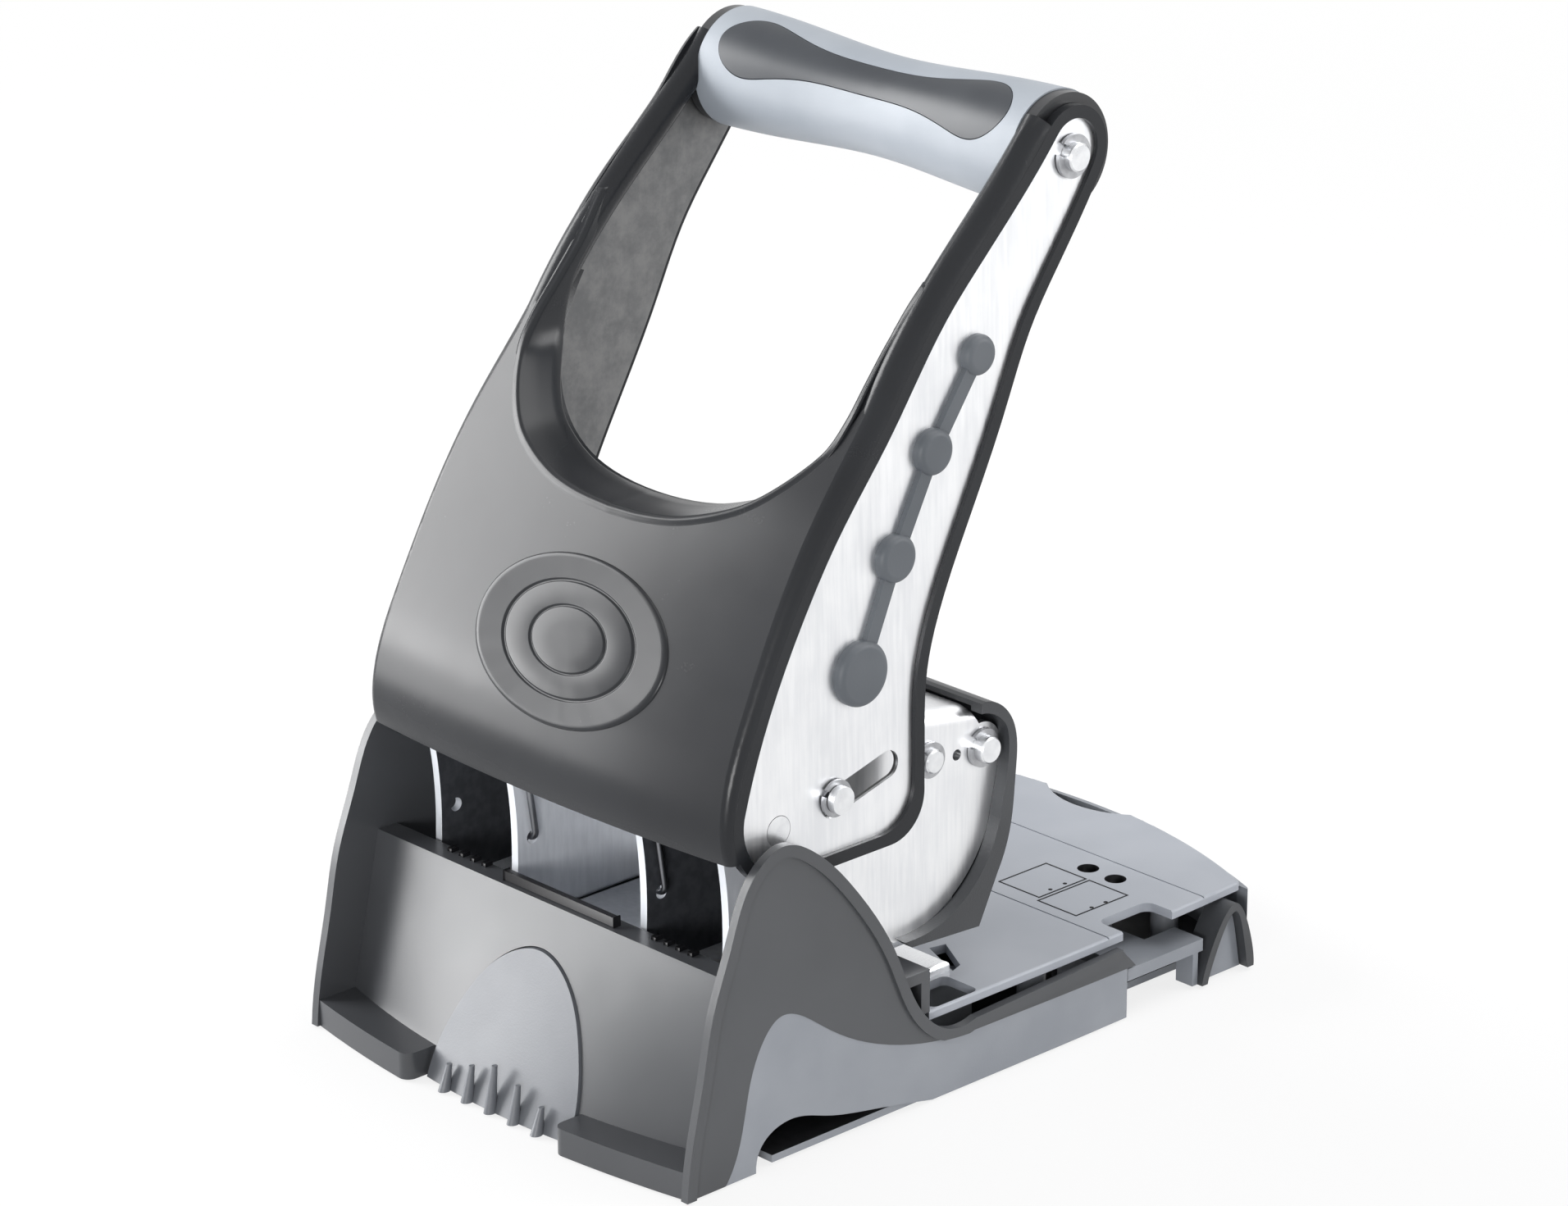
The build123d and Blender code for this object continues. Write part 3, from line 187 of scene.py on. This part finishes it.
glow = paper_seen * (off_middle.between(paper_near, paper_far) * (1.0 - glow_near) + glow_near)
paper_mix = glow.node("ShaderNodeMixShader", {}, {0: glow, 1: matt, 2: white})
paper_mix.node("ShaderNodeOutputMaterial", {}, {"Surface": paper_mix})
floor_mesh.materials.append(paper)

# ----------------------------------------------------------------------------------------------
# Feet, lower shell and chip drawer: rubber pads under a shell of pale blue-grey moulded plastic,
# satin and finely grained, screwed together from below; the drawer slides out in front.
# ----------------------------------------------------------------------------------------------


def dress(material, *names):
    """The CAD nodes of these names take a material."""
    for name in names:
        for material_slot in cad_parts[name].material_slots:
            material_slot.material = material


def blank(name, **constants):
    """A new material with constants on its shader's own sockets, and the place on the piece as a value."""
    made = bpy.data.materials.new(name)
    made.use_nodes = True
    for socket, number in constants.items():
        made.node_tree.nodes["Principled BSDF"].inputs[socket.replace("_", " ")].default_value = number
    return made, Value(made.node_tree.nodes.new("ShaderNodeTexCoord").outputs["Object"])


def surface(material, shade, gloss, relief, strength, depth):
    """Links a colour and a roughness to a material's shader, and a relief of some depth by a Bump node."""
    shader = material.node_tree.nodes["Principled BSDF"]
    bump = relief.node("ShaderNodeBump", {}, {"Strength": strength, "Distance": depth, "Height": relief})
    for value, socket in ((shade, "Base Color"), (gloss, "Roughness"), (bump, "Normal")):
        material.node_tree.links.new(value.socket, shader.inputs[socket])
    return material


def plastic(name, deep, pale, roughness, grain=0.12, cloud_size=0.03, sheen=0.5):
    """Moulded plastic. Two close shades change over in soft clouds. The roughness is its mean, more or
    less by a smeared noise and a little by the grain. The fine spark-eroded grain is also the relief."""
    smear_share, speck_share, speck_depth = 0.06, 0.02, 0.0002
    made, place = blank(name, Specular_IOR_Level=sheen)
    shade = place.noise(1 / cloud_size, 3.0).between(0.3, 0.7).mix(deep, pale)
    speck = place.noise(1800.0, 2.0)
    smear = place.noise(60.0, 4.0, Distortion=0.6)
    gloss = (smear - 0.5) * smear_share + (speck - 0.5) * speck_share + roughness
    return surface(made, shade, gloss, speck, grain, speck_depth)


def second_shade(material, where, deep, pale, spots=(400.0, 4.0, 0.5), rougher=0.0):
    """Gives a material another pair of shades where a mask is 1, and more roughness if that is asked for.
    The mask is a function of the place and of the way that the face looks, each as its three parts. spots
    are the scale, detail and roughness of the noise that changes one shade into the other."""
    tree = material.node_tree
    shader = tree.nodes["Principled BSDF"]
    first, gloss = [Value(shader.inputs[key].links[0].from_socket) for key in ("Base Color", "Roughness")]
    place = Value(tree.nodes.new("ShaderNodeTexCoord").outputs["Object"])
    facing = Value(tree.nodes.new("ShaderNodeNewGeometry").outputs["Normal"])
    parts = [[v.node("ShaderNodeSeparateXYZ", {}, {0: v}, out=k) for k in range(3)] for v in (place, facing)]
    mask = where(*parts)
    scale, detail, roughness = spots
    second = place.noise(scale, detail, Roughness=roughness).between(0.3, 0.7).mix(deep, pale)
    tree.links.new(mask.mix(first, second).socket, shader.inputs["Base Color"])
    if rougher:
        tree.links.new((gloss + mask * rougher).socket, shader.inputs["Roughness"])


pad_rubber = plastic("pad_rubber", (0.02, 0.02, 0.021), (0.035, 0.035, 0.036), 0.85, grain=0.3)
shell_grey = plastic("shell_grey", (0.22, 0.235, 0.262), (0.26, 0.275, 0.302), 0.42)
drawer_grey = plastic("drawer_grey", (0.115, 0.122, 0.137), (0.14, 0.148, 0.163), 0.42)
dress(pad_rubber, "rubber_feet")
dress(shell_grey, "lower_shell", "paper_guide")
dress(drawer_grey, "chip_tray")

# The floor inside the shell is painted nearly black for the shade under the deck, as are the walls of the
# deck's windows over it.
painted_hollow_shade = ((0.008, 0.008, 0.009), (0.014, 0.014, 0.016))
shell_floor_low, shell_floor_top = 0.0035, 0.004


def shaded_shell_floor(place, facing):
    """1 on faces that look up and lie no higher than the shell's floor: where the shade under the deck is
    painted.
    """
    return (1.0 - place[2].between(shell_floor_low, shell_floor_top)) * facing[2].between(0.7, 0.9)


# The shell's floor takes a painted shade, nearly black.
second_shade(shell_grey, shaded_shell_floor, *painted_hollow_shade)

# ----------------------------------------------------------------------------------------------
# Paper deck: a satin plate of the palest grey plastic, clipped on from above, with shallow grooves
# and two page outlines that show which mark on the guide suits which paper.
# ----------------------------------------------------------------------------------------------
mm = 0.001
deck_grey = plastic("deck_grey", (0.31, 0.33, 0.37), (0.345, 0.365, 0.405), 0.38, grain=0.08)
dress(deck_grey, "paper_deck")
windows = ((0.0343, 0.0743), (0.0444, 0.0743))    # their middles
window_reach, window_blur = 0.0033, 0.0001


def window_wall_shade(place, facing):
    """1 on the walls of the deck's two round windows, upright faces near a window's middle: where the shade
    in the windows is painted.
    """
    near = 0.0
    for x, y in windows:
        away = ((place[0] - x).math("POWER", 2.0) + (place[1] - y).math("POWER", 2.0)).math("SQRT")
        near = (1.0 - away.between(window_reach - window_blur, window_reach)) + near
    return near * (1.0 - facing[2].between(0.3, 0.6))


# The walls of the deck's windows take a painted shade, nearly black.
second_shade(deck_grey, window_wall_shade, *painted_hollow_shade)


def grid(x, y, z):
    """Points from their three coordinates, each spread over the rows and columns of the others."""
    return np.stack(np.broadcast_arrays(x, y, z), axis=-1)


def piece(name, rows, body, material, ring=False, capped=False):
    """A smooth grid of points as one piece on a body. Each four neighbours make a face. Its rows may
    close into rings, and the first and last ring may have flat ends."""
    rows = np.asarray(rows, float)
    count, across = rows.shape[:2]
    i = np.arange(count - 1)[:, None] * across
    j = np.arange(across if ring else across - 1)
    k = (j + 1) % across
    quads = np.stack([i + j, i + k, i + across + k, i + across + j], axis=-1).reshape(-1, 4)
    ends = []
    if capped:
        ends = [list(range(across - 1, -1, -1)), list(range((count - 1) * across, count * across))]
    mesh = bpy.data.meshes.new(name)
    mesh.from_pydata(rows.reshape(-1, 3).tolist(), [], quads.tolist() + ends)
    mesh.polygons.foreach_set("use_smooth", [True] * len(quads) + [False] * len(ends))
    mesh.materials.append(material)
    made = bpy.data.objects.new(name, mesh)
    bpy.context.scene.collection.objects.link(made)
    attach(made, body)
    return made


mark_dark = plastic("mark_dark", (0.008, 0.008, 0.009), (0.013, 0.013, 0.014), 0.7, sheen=0.2)
deck_top = 24.5
mark_root = -0.1    # marks start this far under the deck's face
line_width = 0.5
line_height = 0.06
page_outlines = {"letter": (23.8, 50.2, 39.2, 68.8), "sheet": (40.0, 48.5, 54.5, 68.8)}
line_across = np.array([0.0, 0.0, line_width, line_width])
line_up = np.array([mark_root, line_height, line_height, mark_root])
for name, (x0, y0, x1, y1) in page_outlines.items():
    # The corners in turn, and the way from each into the page.
    corners = np.array([(x0, y0, 1, 1), (x1, y0, -1, 1), (x1, y1, -1, -1), (x0, y1, 1, -1), (x0, y0, 1, 1)])
    x, y, inward_x, inward_y = corners.T[:, :, None]
    rows = grid(x + inward_x * line_across, y + inward_y * line_across, deck_top + line_up)
    piece(f"page_outline_{name}", rows * mm, "base", mark_dark, ring=True)
page_dots = [(37.2, 62.2), (37.3, 56.5), (53.4, 61.0), (53.3, 55.7)]
dot_profile = np.array([(0.6, mark_root), (0.6, 0.04), (0.5, 0.09), (0.1, 0.1)])
dot_radius, dot_height = dot_profile.T[:, :, None]
dot_turn = np.linspace(0, 2 * pi, 25)[:-1]
for i, (x, y) in enumerate(page_dots):
    rows = grid(x + dot_radius * np.cos(dot_turn), y + dot_radius * np.sin(dot_turn), deck_top + dot_height)
    piece(f"page_dot_{i}", rows * mm, "base", mark_dark, ring=True, capped=True)

stop_dark = plastic("stop_dark", (0.035, 0.037, 0.041), (0.05, 0.053, 0.058), 0.4)
dress(stop_dark, "guide_stop")

# ----------------------------------------------------------------------------------------------
# Brackets, die plate and punches: the brackets are bent from rolled sheet steel and screwed down
# through their webs; the punches, their guides, the die plate, the pins and the screws are turned
# or ground. Clips of greyer spring steel hold the pins.
# ----------------------------------------------------------------------------------------------


def steel(name, dark, bright, roughness, stretch, line=0.25, metal=1.0):
    """Brushed or rolled steel. A noise is drawn out into lines: stretch says how many waves to the metre
    it has along each axis. The shade is half these lines and half slow clouds, between dark and bright.
    The roughness is its mean, more or less by both noises. The lines are also the relief."""
    line_share, cloud_share, line_depth = 0.18, 0.12, 0.00008
    made, place = blank(name, Metallic=metal)
    drawn = place.node("ShaderNodeVectorMath", {"operation": "MULTIPLY"}, {0: place, 1: stretch})
    lines = drawn.noise(1.0, 4.0)
    cloud = place.noise(45.0, 5.0, Roughness=0.6)
    shade = (lines * 0.5 + cloud * 0.5).between(0.32, 0.68).mix(dark, bright)
    gloss = (lines - 0.5) * line_share + (cloud - 0.5) * cloud_share + roughness
    return surface(made, shade, gloss, lines, line, line_depth)


rolled = steel(
    "rolled_steel", (0.62, 0.645, 0.69), (0.74, 0.765, 0.81), 0.4, (600.0, 600.0, 90.0), line=0.3, metal=0.2
)
turned = steel("turned_steel", (0.7, 0.71, 0.73), (0.84, 0.85, 0.86), 0.3, (2500.0, 300.0, 300.0))
clip_steel = steel("clip_steel", (0.34, 0.345, 0.36), (0.46, 0.465, 0.48), 0.36, (600.0, 600.0, 600.0))
dress(rolled, "punch_frame_left", "punch_frame_right")
dress(turned, "die_plate", "punch_guide_left", "punch_guide_right", "punch_left", "punch_right")
dress(turned, "frame_screws", "base_screws", "rocker_pivot_pin", "punch_pin")
dress(clip_steel, "rocker_pivot_clips", "punch_pin_clips")

# Between its two side plates a bracket is painted dark, for the shade that falls there.
bracket_x, bracket_inside, bracket_blur = 0.040, 0.0152, 0.0002


def shade_between_plates(place, facing):
    """1 on faces that look sideways, nearer a bracket's middle than its plates' inner faces: where the shade
    between the plates is painted.
    """
    away = (place[0].math("ABSOLUTE") - bracket_x).math("ABSOLUTE")
    inside = 1.0 - away.between(bracket_inside - bracket_blur, bracket_inside + bracket_blur)
    return inside * facing[0].math("ABSOLUTE").between(0.5, 0.8)


# Painted shade between the bracket's plates, near black.
second_shade(rolled, shade_between_plates, (0.045, 0.048, 0.055), (0.065, 0.069, 0.078))

# ----------------------------------------------------------------------------------------------
# Housing: the dark front panel, the two cheeks and their rim, moulded in one piece of semi-gloss
# grey plastic. The shelf behind the panel carries a black bar and ribs, and a thin sheet of steel
# lies on the floor between the brackets.
# ----------------------------------------------------------------------------------------------
housing_grey = plastic(
    "housing_grey", (0.05, 0.0525, 0.0575), (0.064, 0.067, 0.073), 0.33, grain=0.03, cloud_size=0.06
)
dress(housing_grey, "housing")
shelf_black = plastic(
    "shelf_black", (0.008, 0.008, 0.009), (0.013, 0.013, 0.015), 0.3, grain=0.03, sheen=0.15
)


def waisted_box(low, high, radius, steps=5):
    """Cross-sections along X that fill a box at its two ends, with corners rounded to the radius. Between
    the ends the section is smaller by the radius all round, with square corners, and a hollow quarter
    circle leads from one to the other."""
    turn = np.linspace(0, pi / 2, steps)
    from_end = radius * (1 - np.sin(turn))
    grown = radius * (1 - np.cos(turn))
    x = np.concatenate([low[0] + from_end[::-1], high[0] - from_end])[:, None]
    grown = np.concatenate([grown[::-1], grown])[:, None]
    y0, z0, y1, z1 = low[1] + radius, low[2] + radius, high[1] - radius, high[2] - radius
    around = np.tile(turn, 4) + np.repeat(np.arange(4) * pi / 2, steps)
    y = np.repeat([y1, y0, y0, y1], steps) + grown * np.cos(around)
    z = np.repeat([z1, z1, z0, z0], steps) + grown * np.sin(around)
    return grid(x, y, z) * mm


bar = waisted_box((-22.0, -84.9, 50.4), (20.5, -82.3, 53.7), 0.4)
piece("shelf_bar", bar, "base", shelf_black, ring=True, capped=True)
bay_floor = waisted_box((-22.6, -78.0, 36.3), (22.6, -36.0, 37.2), 0.3)
piece("bay_plate", bay_floor, "base", rolled, ring=True, capped=True)
teeth, tooth_step, tooth_half = 4, 4.5, 0.8
for name, first_x in (("left", -46.0), ("right", 33.0)):
    for i in range(teeth):
        x = first_x + tooth_step * i
        tooth = waisted_box((x - tooth_half, -82.6, 50.4), (x + tooth_half, -80.0, 51.7), 0.3, steps=4)
        tooth_name = f"shelf_tooth_{name}_{i}"
        piece(tooth_name, tooth, "base", shelf_black, ring=True, capped=True)

# ----------------------------------------------------------------------------------------------
# Rocker and head guard: a bright satin steel fan that turns on the rear pin and drives the
# punches, edged by a soft black plastic guard clipped over it.
# ----------------------------------------------------------------------------------------------
satin = steel("satin_steel", (0.76, 0.77, 0.79), (0.86, 0.865, 0.875), 0.34, (900.0, 900.0, 60.0), line=0.12)
guard_black = plastic("guard_black", (0.03, 0.032, 0.036), (0.042, 0.045, 0.05), 0.4, grain=0.15)
dress(satin, "rocker")
dress(guard_black, "head_guard")
dress(turned, "drive_pins", "handle_shaft")
dress(clip_steel, "drive_pin_clips")

# ----------------------------------------------------------------------------------------------
# Return springs: drawn wire coiled round the handle's shaft, each against a side plate of its
# bracket. One end is bent into a leg that hooks through that plate.
# ----------------------------------------------------------------------------------------------
wire = steel("spring_wire", (0.16, 0.165, 0.18), (0.24, 0.245, 0.26), 0.32, (200.0, 200.0, 200.0))


def tube(path, radius, sides=12):
    """Rings round a path. Each ring's first spoke is the last one's, made square to the path again, and
    its points are the middle plus the radius times the spoke's cosine and the crossing spoke's sine."""
    path = np.asarray(path, float)
    along = np.gradient(path, axis=0)
    along /= np.linalg.norm(along, axis=1)[:, None]
    spoke = np.cross(along[0], (1.0, 0.0, 0.0))
    if np.linalg.norm(spoke) < 0.1:
        spoke = np.cross(along[0], (0.0, 1.0, 0.0))
    spokes = []
    for ahead in along:
        spoke = spoke - ahead * spoke.dot(ahead)
        spoke = spoke / np.linalg.norm(spoke)
        spokes.append(spoke)
    spokes = np.array(spokes)
    turn = np.linspace(0, 2 * pi, sides + 1)[:-1, None]
    round_about = spokes[:, None] * np.cos(turn) + np.cross(along, spokes)[:, None] * np.sin(turn)
    return path[:, None] + radius * round_about


coil_y, coil_z, coil_r, wire_r = -71.5, 87.4, 6.0, 0.9
coil_pitch, coil_turns, coil_steps = 1.86, 6.2, 28
hook_y, hook_z, hook_end = -73.4, 59.0, 2.4
bend_r = 2.0
leg_foot = hook_z + bend_r
bend = np.linspace(0, pi / 2, 7)
leg = np.linspace(0.1, 0.98, 12)    # shares of the way from the bend up to the coil
wound = np.linspace(0, coil_turns, int(coil_turns * coil_steps))
coil_turn = pi - 2 * pi * wound
for name, side_x, hook_x in (("left", -22.2, -26.8), ("right", 27.4, 22.8)):
    coil_x = side_x + coil_pitch * wound
    path = np.concatenate([
        [(hook_x, hook_y, hook_z), (side_x - hook_end, hook_y, hook_z)],
        grid(side_x - bend_r + bend_r * np.sin(bend), hook_y, leg_foot - bend_r * np.cos(bend)),
        grid(side_x, hook_y + (coil_y - coil_r - hook_y) * leg, leg_foot + (coil_z - leg_foot) * leg),
        grid(coil_x, coil_y + coil_r * np.cos(coil_turn), coil_z + coil_r * np.sin(coil_turn)),
    ])
    rows = tube(path * mm, wire_r * mm)
    coil = piece(f"spring_wire_{name}", rows, "base", wire, ring=True, capped=True)
    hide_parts(f"return_spring_{name}")

# ----------------------------------------------------------------------------------------------
# Handle: bright steel plates in the arms of a dark semi-gloss cover moulded in one piece, with a
# soft rubbery inlay of four domed dots on each side.
# ----------------------------------------------------------------------------------------------
cover_grey = plastic(
    "cover_grey", (0.014, 0.015, 0.0175), (0.02, 0.0215, 0.0245), 0.26, grain=0.012, cloud_size=0.06,
    sheen=0.25,
)
inlay_soft = plastic("inlay_soft", (0.075, 0.084, 0.096), (0.095, 0.105, 0.118), 0.48, grain=0.1)
plate_satin = steel(
    "plate_satin", (0.74, 0.75, 0.77), (0.83, 0.835, 0.845), 0.36, (900.0, 900.0, 60.0), line=0.1
)
dress(cover_grey, "handle_cover")
dress(plate_satin, "handle_plate_left", "handle_plate_right")
dress(inlay_soft, "handle_inlay_left", "handle_inlay_right")

# The plates' inner faces are painted dark, for the dark reflection that they show, and made a little rougher.
# They lean inward with the arms above the shaft.
shaft_z, arm_slope = 0.0874, 0.02654
inner_half, inner_blur = 0.0664, 0.0001    # half the width between the plates, at the shaft


def painted_dark_inner_faces(place, facing):
    """1 where the distance from the middle, carried down along the arms' lean to the shaft's height, is less
    than half the width between the plates."""
    half = place[0].math("ABSOLUTE") + (place[2] - shaft_z) * arm_slope
    return 1.0 - half.between(inner_half - inner_blur, inner_half + inner_blur)


# The inner faces take a painted dark reflection, mottled, and more roughness.
second_shade(
    plate_satin, painted_dark_inner_faces, (0.13, 0.132, 0.135), (0.19, 0.19, 0.19), spots=(130.0, 6.0, 0.7), rougher=0.12
)

# The edge of the hand opening is rolled back into a flange that fades out in the arms. Half of it
# is drawn, as seen from the front, and mirrored.
half_edge = [
    (0.0, 154.3), (12.0, 154.8), (24.0, 156.5), (36.0, 160.3), (44.0, 164.5), (51.4, 171.0), (56.0, 177.3),
    (57.2, 184.0), (56.9, 192.0), (56.7, 200.0), (57.2, 207.0), (58.2, 214.0),
]
cover_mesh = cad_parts["handle_cover"].data
cover_tree = BVHTree.FromPolygons(
    [v.co for v in cover_mesh.vertices], [p.vertices for p in cover_mesh.polygons], epsilon=1e-6
)


def through_points(points, steps):
    """A smooth curve through points: between two of them, a cubic that leaves each along its neighbours'
    chord."""
    points = np.array(points, float)
    run = np.vstack([2 * points[0] - points[1], points, 2 * points[-1] - points[-2]])
    a, b, c, d = run[:-3, None], run[1:-2, None], run[2:-1, None], run[3:, None]
    t = np.linspace(0, 1, steps, endpoint=False)[:, None]
    curve = b + 0.5 * t * (c - a + t * (2 * a - 5 * b + 4 * c - d + t * (3 * (b - c) + d - a)))
    return np.concatenate([curve.reshape(-1, 2), points[-1:]])


def skin_front(x, z):
    """How far forward the cover's skin is at a place seen from the front: the nearer hit of two rays, one
    a hair to each side of it."""
    starts = [Vector((x + nudge, -140.0, z)) * mm for nudge in (-0.03, 0.03)]
    hits = [cover_tree.ray_cast(start, Vector((0, 1, 0)))[0] for start in starts]
    return min(hit.y for hit in hits if hit) / mm


edge = through_points(half_edge, 10)
chord = np.gradient(edge, axis=0)
chord[0] = (1, 0)
chord /= np.linalg.norm(chord, axis=1)[:, None]
outward = np.stack([chord[:, 1], -chord[:, 0]], axis=1)
# The flange's section: first its seam on the skin, by distance from the edge and depth, then the
# curl, by distance from the edge, share of the flange's depth, and depth besides.
skin_offsets, skin_depths = np.array([(2.6, 0.1), (2.1, -0.02), (1.7, -0.03)]).T
curl_offsets, curl_shares, curl_depths = np.array([
    (1.2, 0, 0.02), (0.75, 0, 0.2), (0.35, 0, 0.55), (0.1, 0, 1.1), (0, 0, 1.8), (0, 0.5, 0), (0, 0.75, 0),
    (0, 1, -0.7), (0.2, 1, -0.2), (0.6, 1, 0), (1.0, 1, -0.2), (1.2, 1, -0.7), (1.3, 0, 3.5), (2.0, 0, 2.0),
]).T
seam = edge[:, None] + skin_offsets[:, None] * outward[:, None]
fronts = np.array([[skin_front(x, z) for x, z in row] for row in seam])
# Where the skin turns over into the arm, the flange's front runs on in a straight line.
turn_over = (176.5, 202.0)
first, last = np.searchsorted(edge[:, 1], turn_over)
for front in fronts.T:
    front[first:last] = np.interp(edge[first:last, 1], edge[[first, last], 1], front[[first, last]])
flange_deep, flange_arm = 15.5, 5.0    # its depth in the middle and in the arms
fade_from, fade_over = 172.0, 26.0
rise = np.clip((edge[:, 1:] - fade_from) / fade_over, 0, 1)
deep = flange_deep + (flange_arm - flange_deep) * rise * rise * (3 - 2 * rise)
offsets = np.concatenate([skin_offsets, curl_offsets])
depth = np.concatenate([fronts + skin_depths, fronts[:, -1:] + curl_shares * deep + curl_depths], axis=1)
rows = grid(edge[:, :1] + offsets * outward[:, :1], depth, edge[:, 1:] + offsets * outward[:, 1:])
rows = np.concatenate([rows[:0:-1] * (-1, 1, 1), rows])
piece("cover_flange", rows * mm, "handle", cover_grey, ring=True, capped=True)

# A bare oval badge stands on the cover's front: a rim, then two plain rings sunk into a flat disc.
# Its points lie on the skin, met by rays square to the badge, plus the profile's height.
badge_middle = np.array((3.0, -84.0, 123.6)) * mm
badge_out = np.array((0.0, -0.874, 0.486))
badge_side = np.array((1.0, 0.0, 0.0))
badge_up = np.array((0.0, 0.486, 0.874))
badge_r = 31.5                         # the profile's outermost distance
badge_half_wide, badge_half_tall = 34.8, 21.7
badge_start = 0.03                     # where the rays start, in front of the skin
badge_profile = np.array([
    (0.4, 0.5), (6.0, 0.5), (11.4, 0.5), (11.7, 0.46), (11.9, 0.1), (12.5, 0.1), (12.7, 0.46), (13.0, 0.5),
    (20.4, 0.5), (20.7, 0.46), (20.9, 0.1), (21.7, 0.1), (21.9, 0.46), (22.2, 0.5), (28.8, 0.5), (29.6, 0.62),
    (30.6, 0.62), (31.2, 0.4), (badge_r, 0.05), (badge_r, -0.6), (0.4, -0.6),
])
badge_turn = np.linspace(0, 2 * pi, 181)[:-1, None]
oval = badge_side * np.cos(badge_turn) * badge_half_wide + badge_up * np.sin(badge_turn) * badge_half_tall
distance, height = badge_profile.T[:, :, None, None]
starts = badge_middle + oval / badge_r * distance * mm + badge_out * badge_start
inward = -Vector(badge_out)
hits = [cover_tree.ray_cast(Vector(start), inward)[0] for start in starts.reshape(-1, 3)]
rows = np.array(hits).reshape(starts.shape) + badge_out * height * mm
piece("cover_badge", rows, "handle", cover_grey, ring=True, capped=True)

# ----------------------------------------------------------------------------------------------
# Grip: a waisted sleeve of pale soft plastic on a steel rod between two black collars, with a
# darker inset where the palm presses; the rod is held by clips outside the arms.
# ----------------------------------------------------------------------------------------------
grip_grey = plastic("grip_grey", (0.3, 0.33, 0.37), (0.35, 0.38, 0.42), 0.48, grain=0.1)
inset_dark = plastic("inset_dark", (0.03, 0.034, 0.041), (0.045, 0.05, 0.058), 0.34, grain=0.04, sheen=0.35)
collar_black = plastic("collar_black", (0.02, 0.021, 0.023), (0.03, 0.031, 0.034), 0.3)
dress(grip_grey, "grip_sleeve")
dress(inset_dark, "grip_inset")
dress(collar_black, "grip_collar_left", "grip_collar_right")
dress(turned, "grip_rod")
dress(clip_steel, "grip_rod_clips")
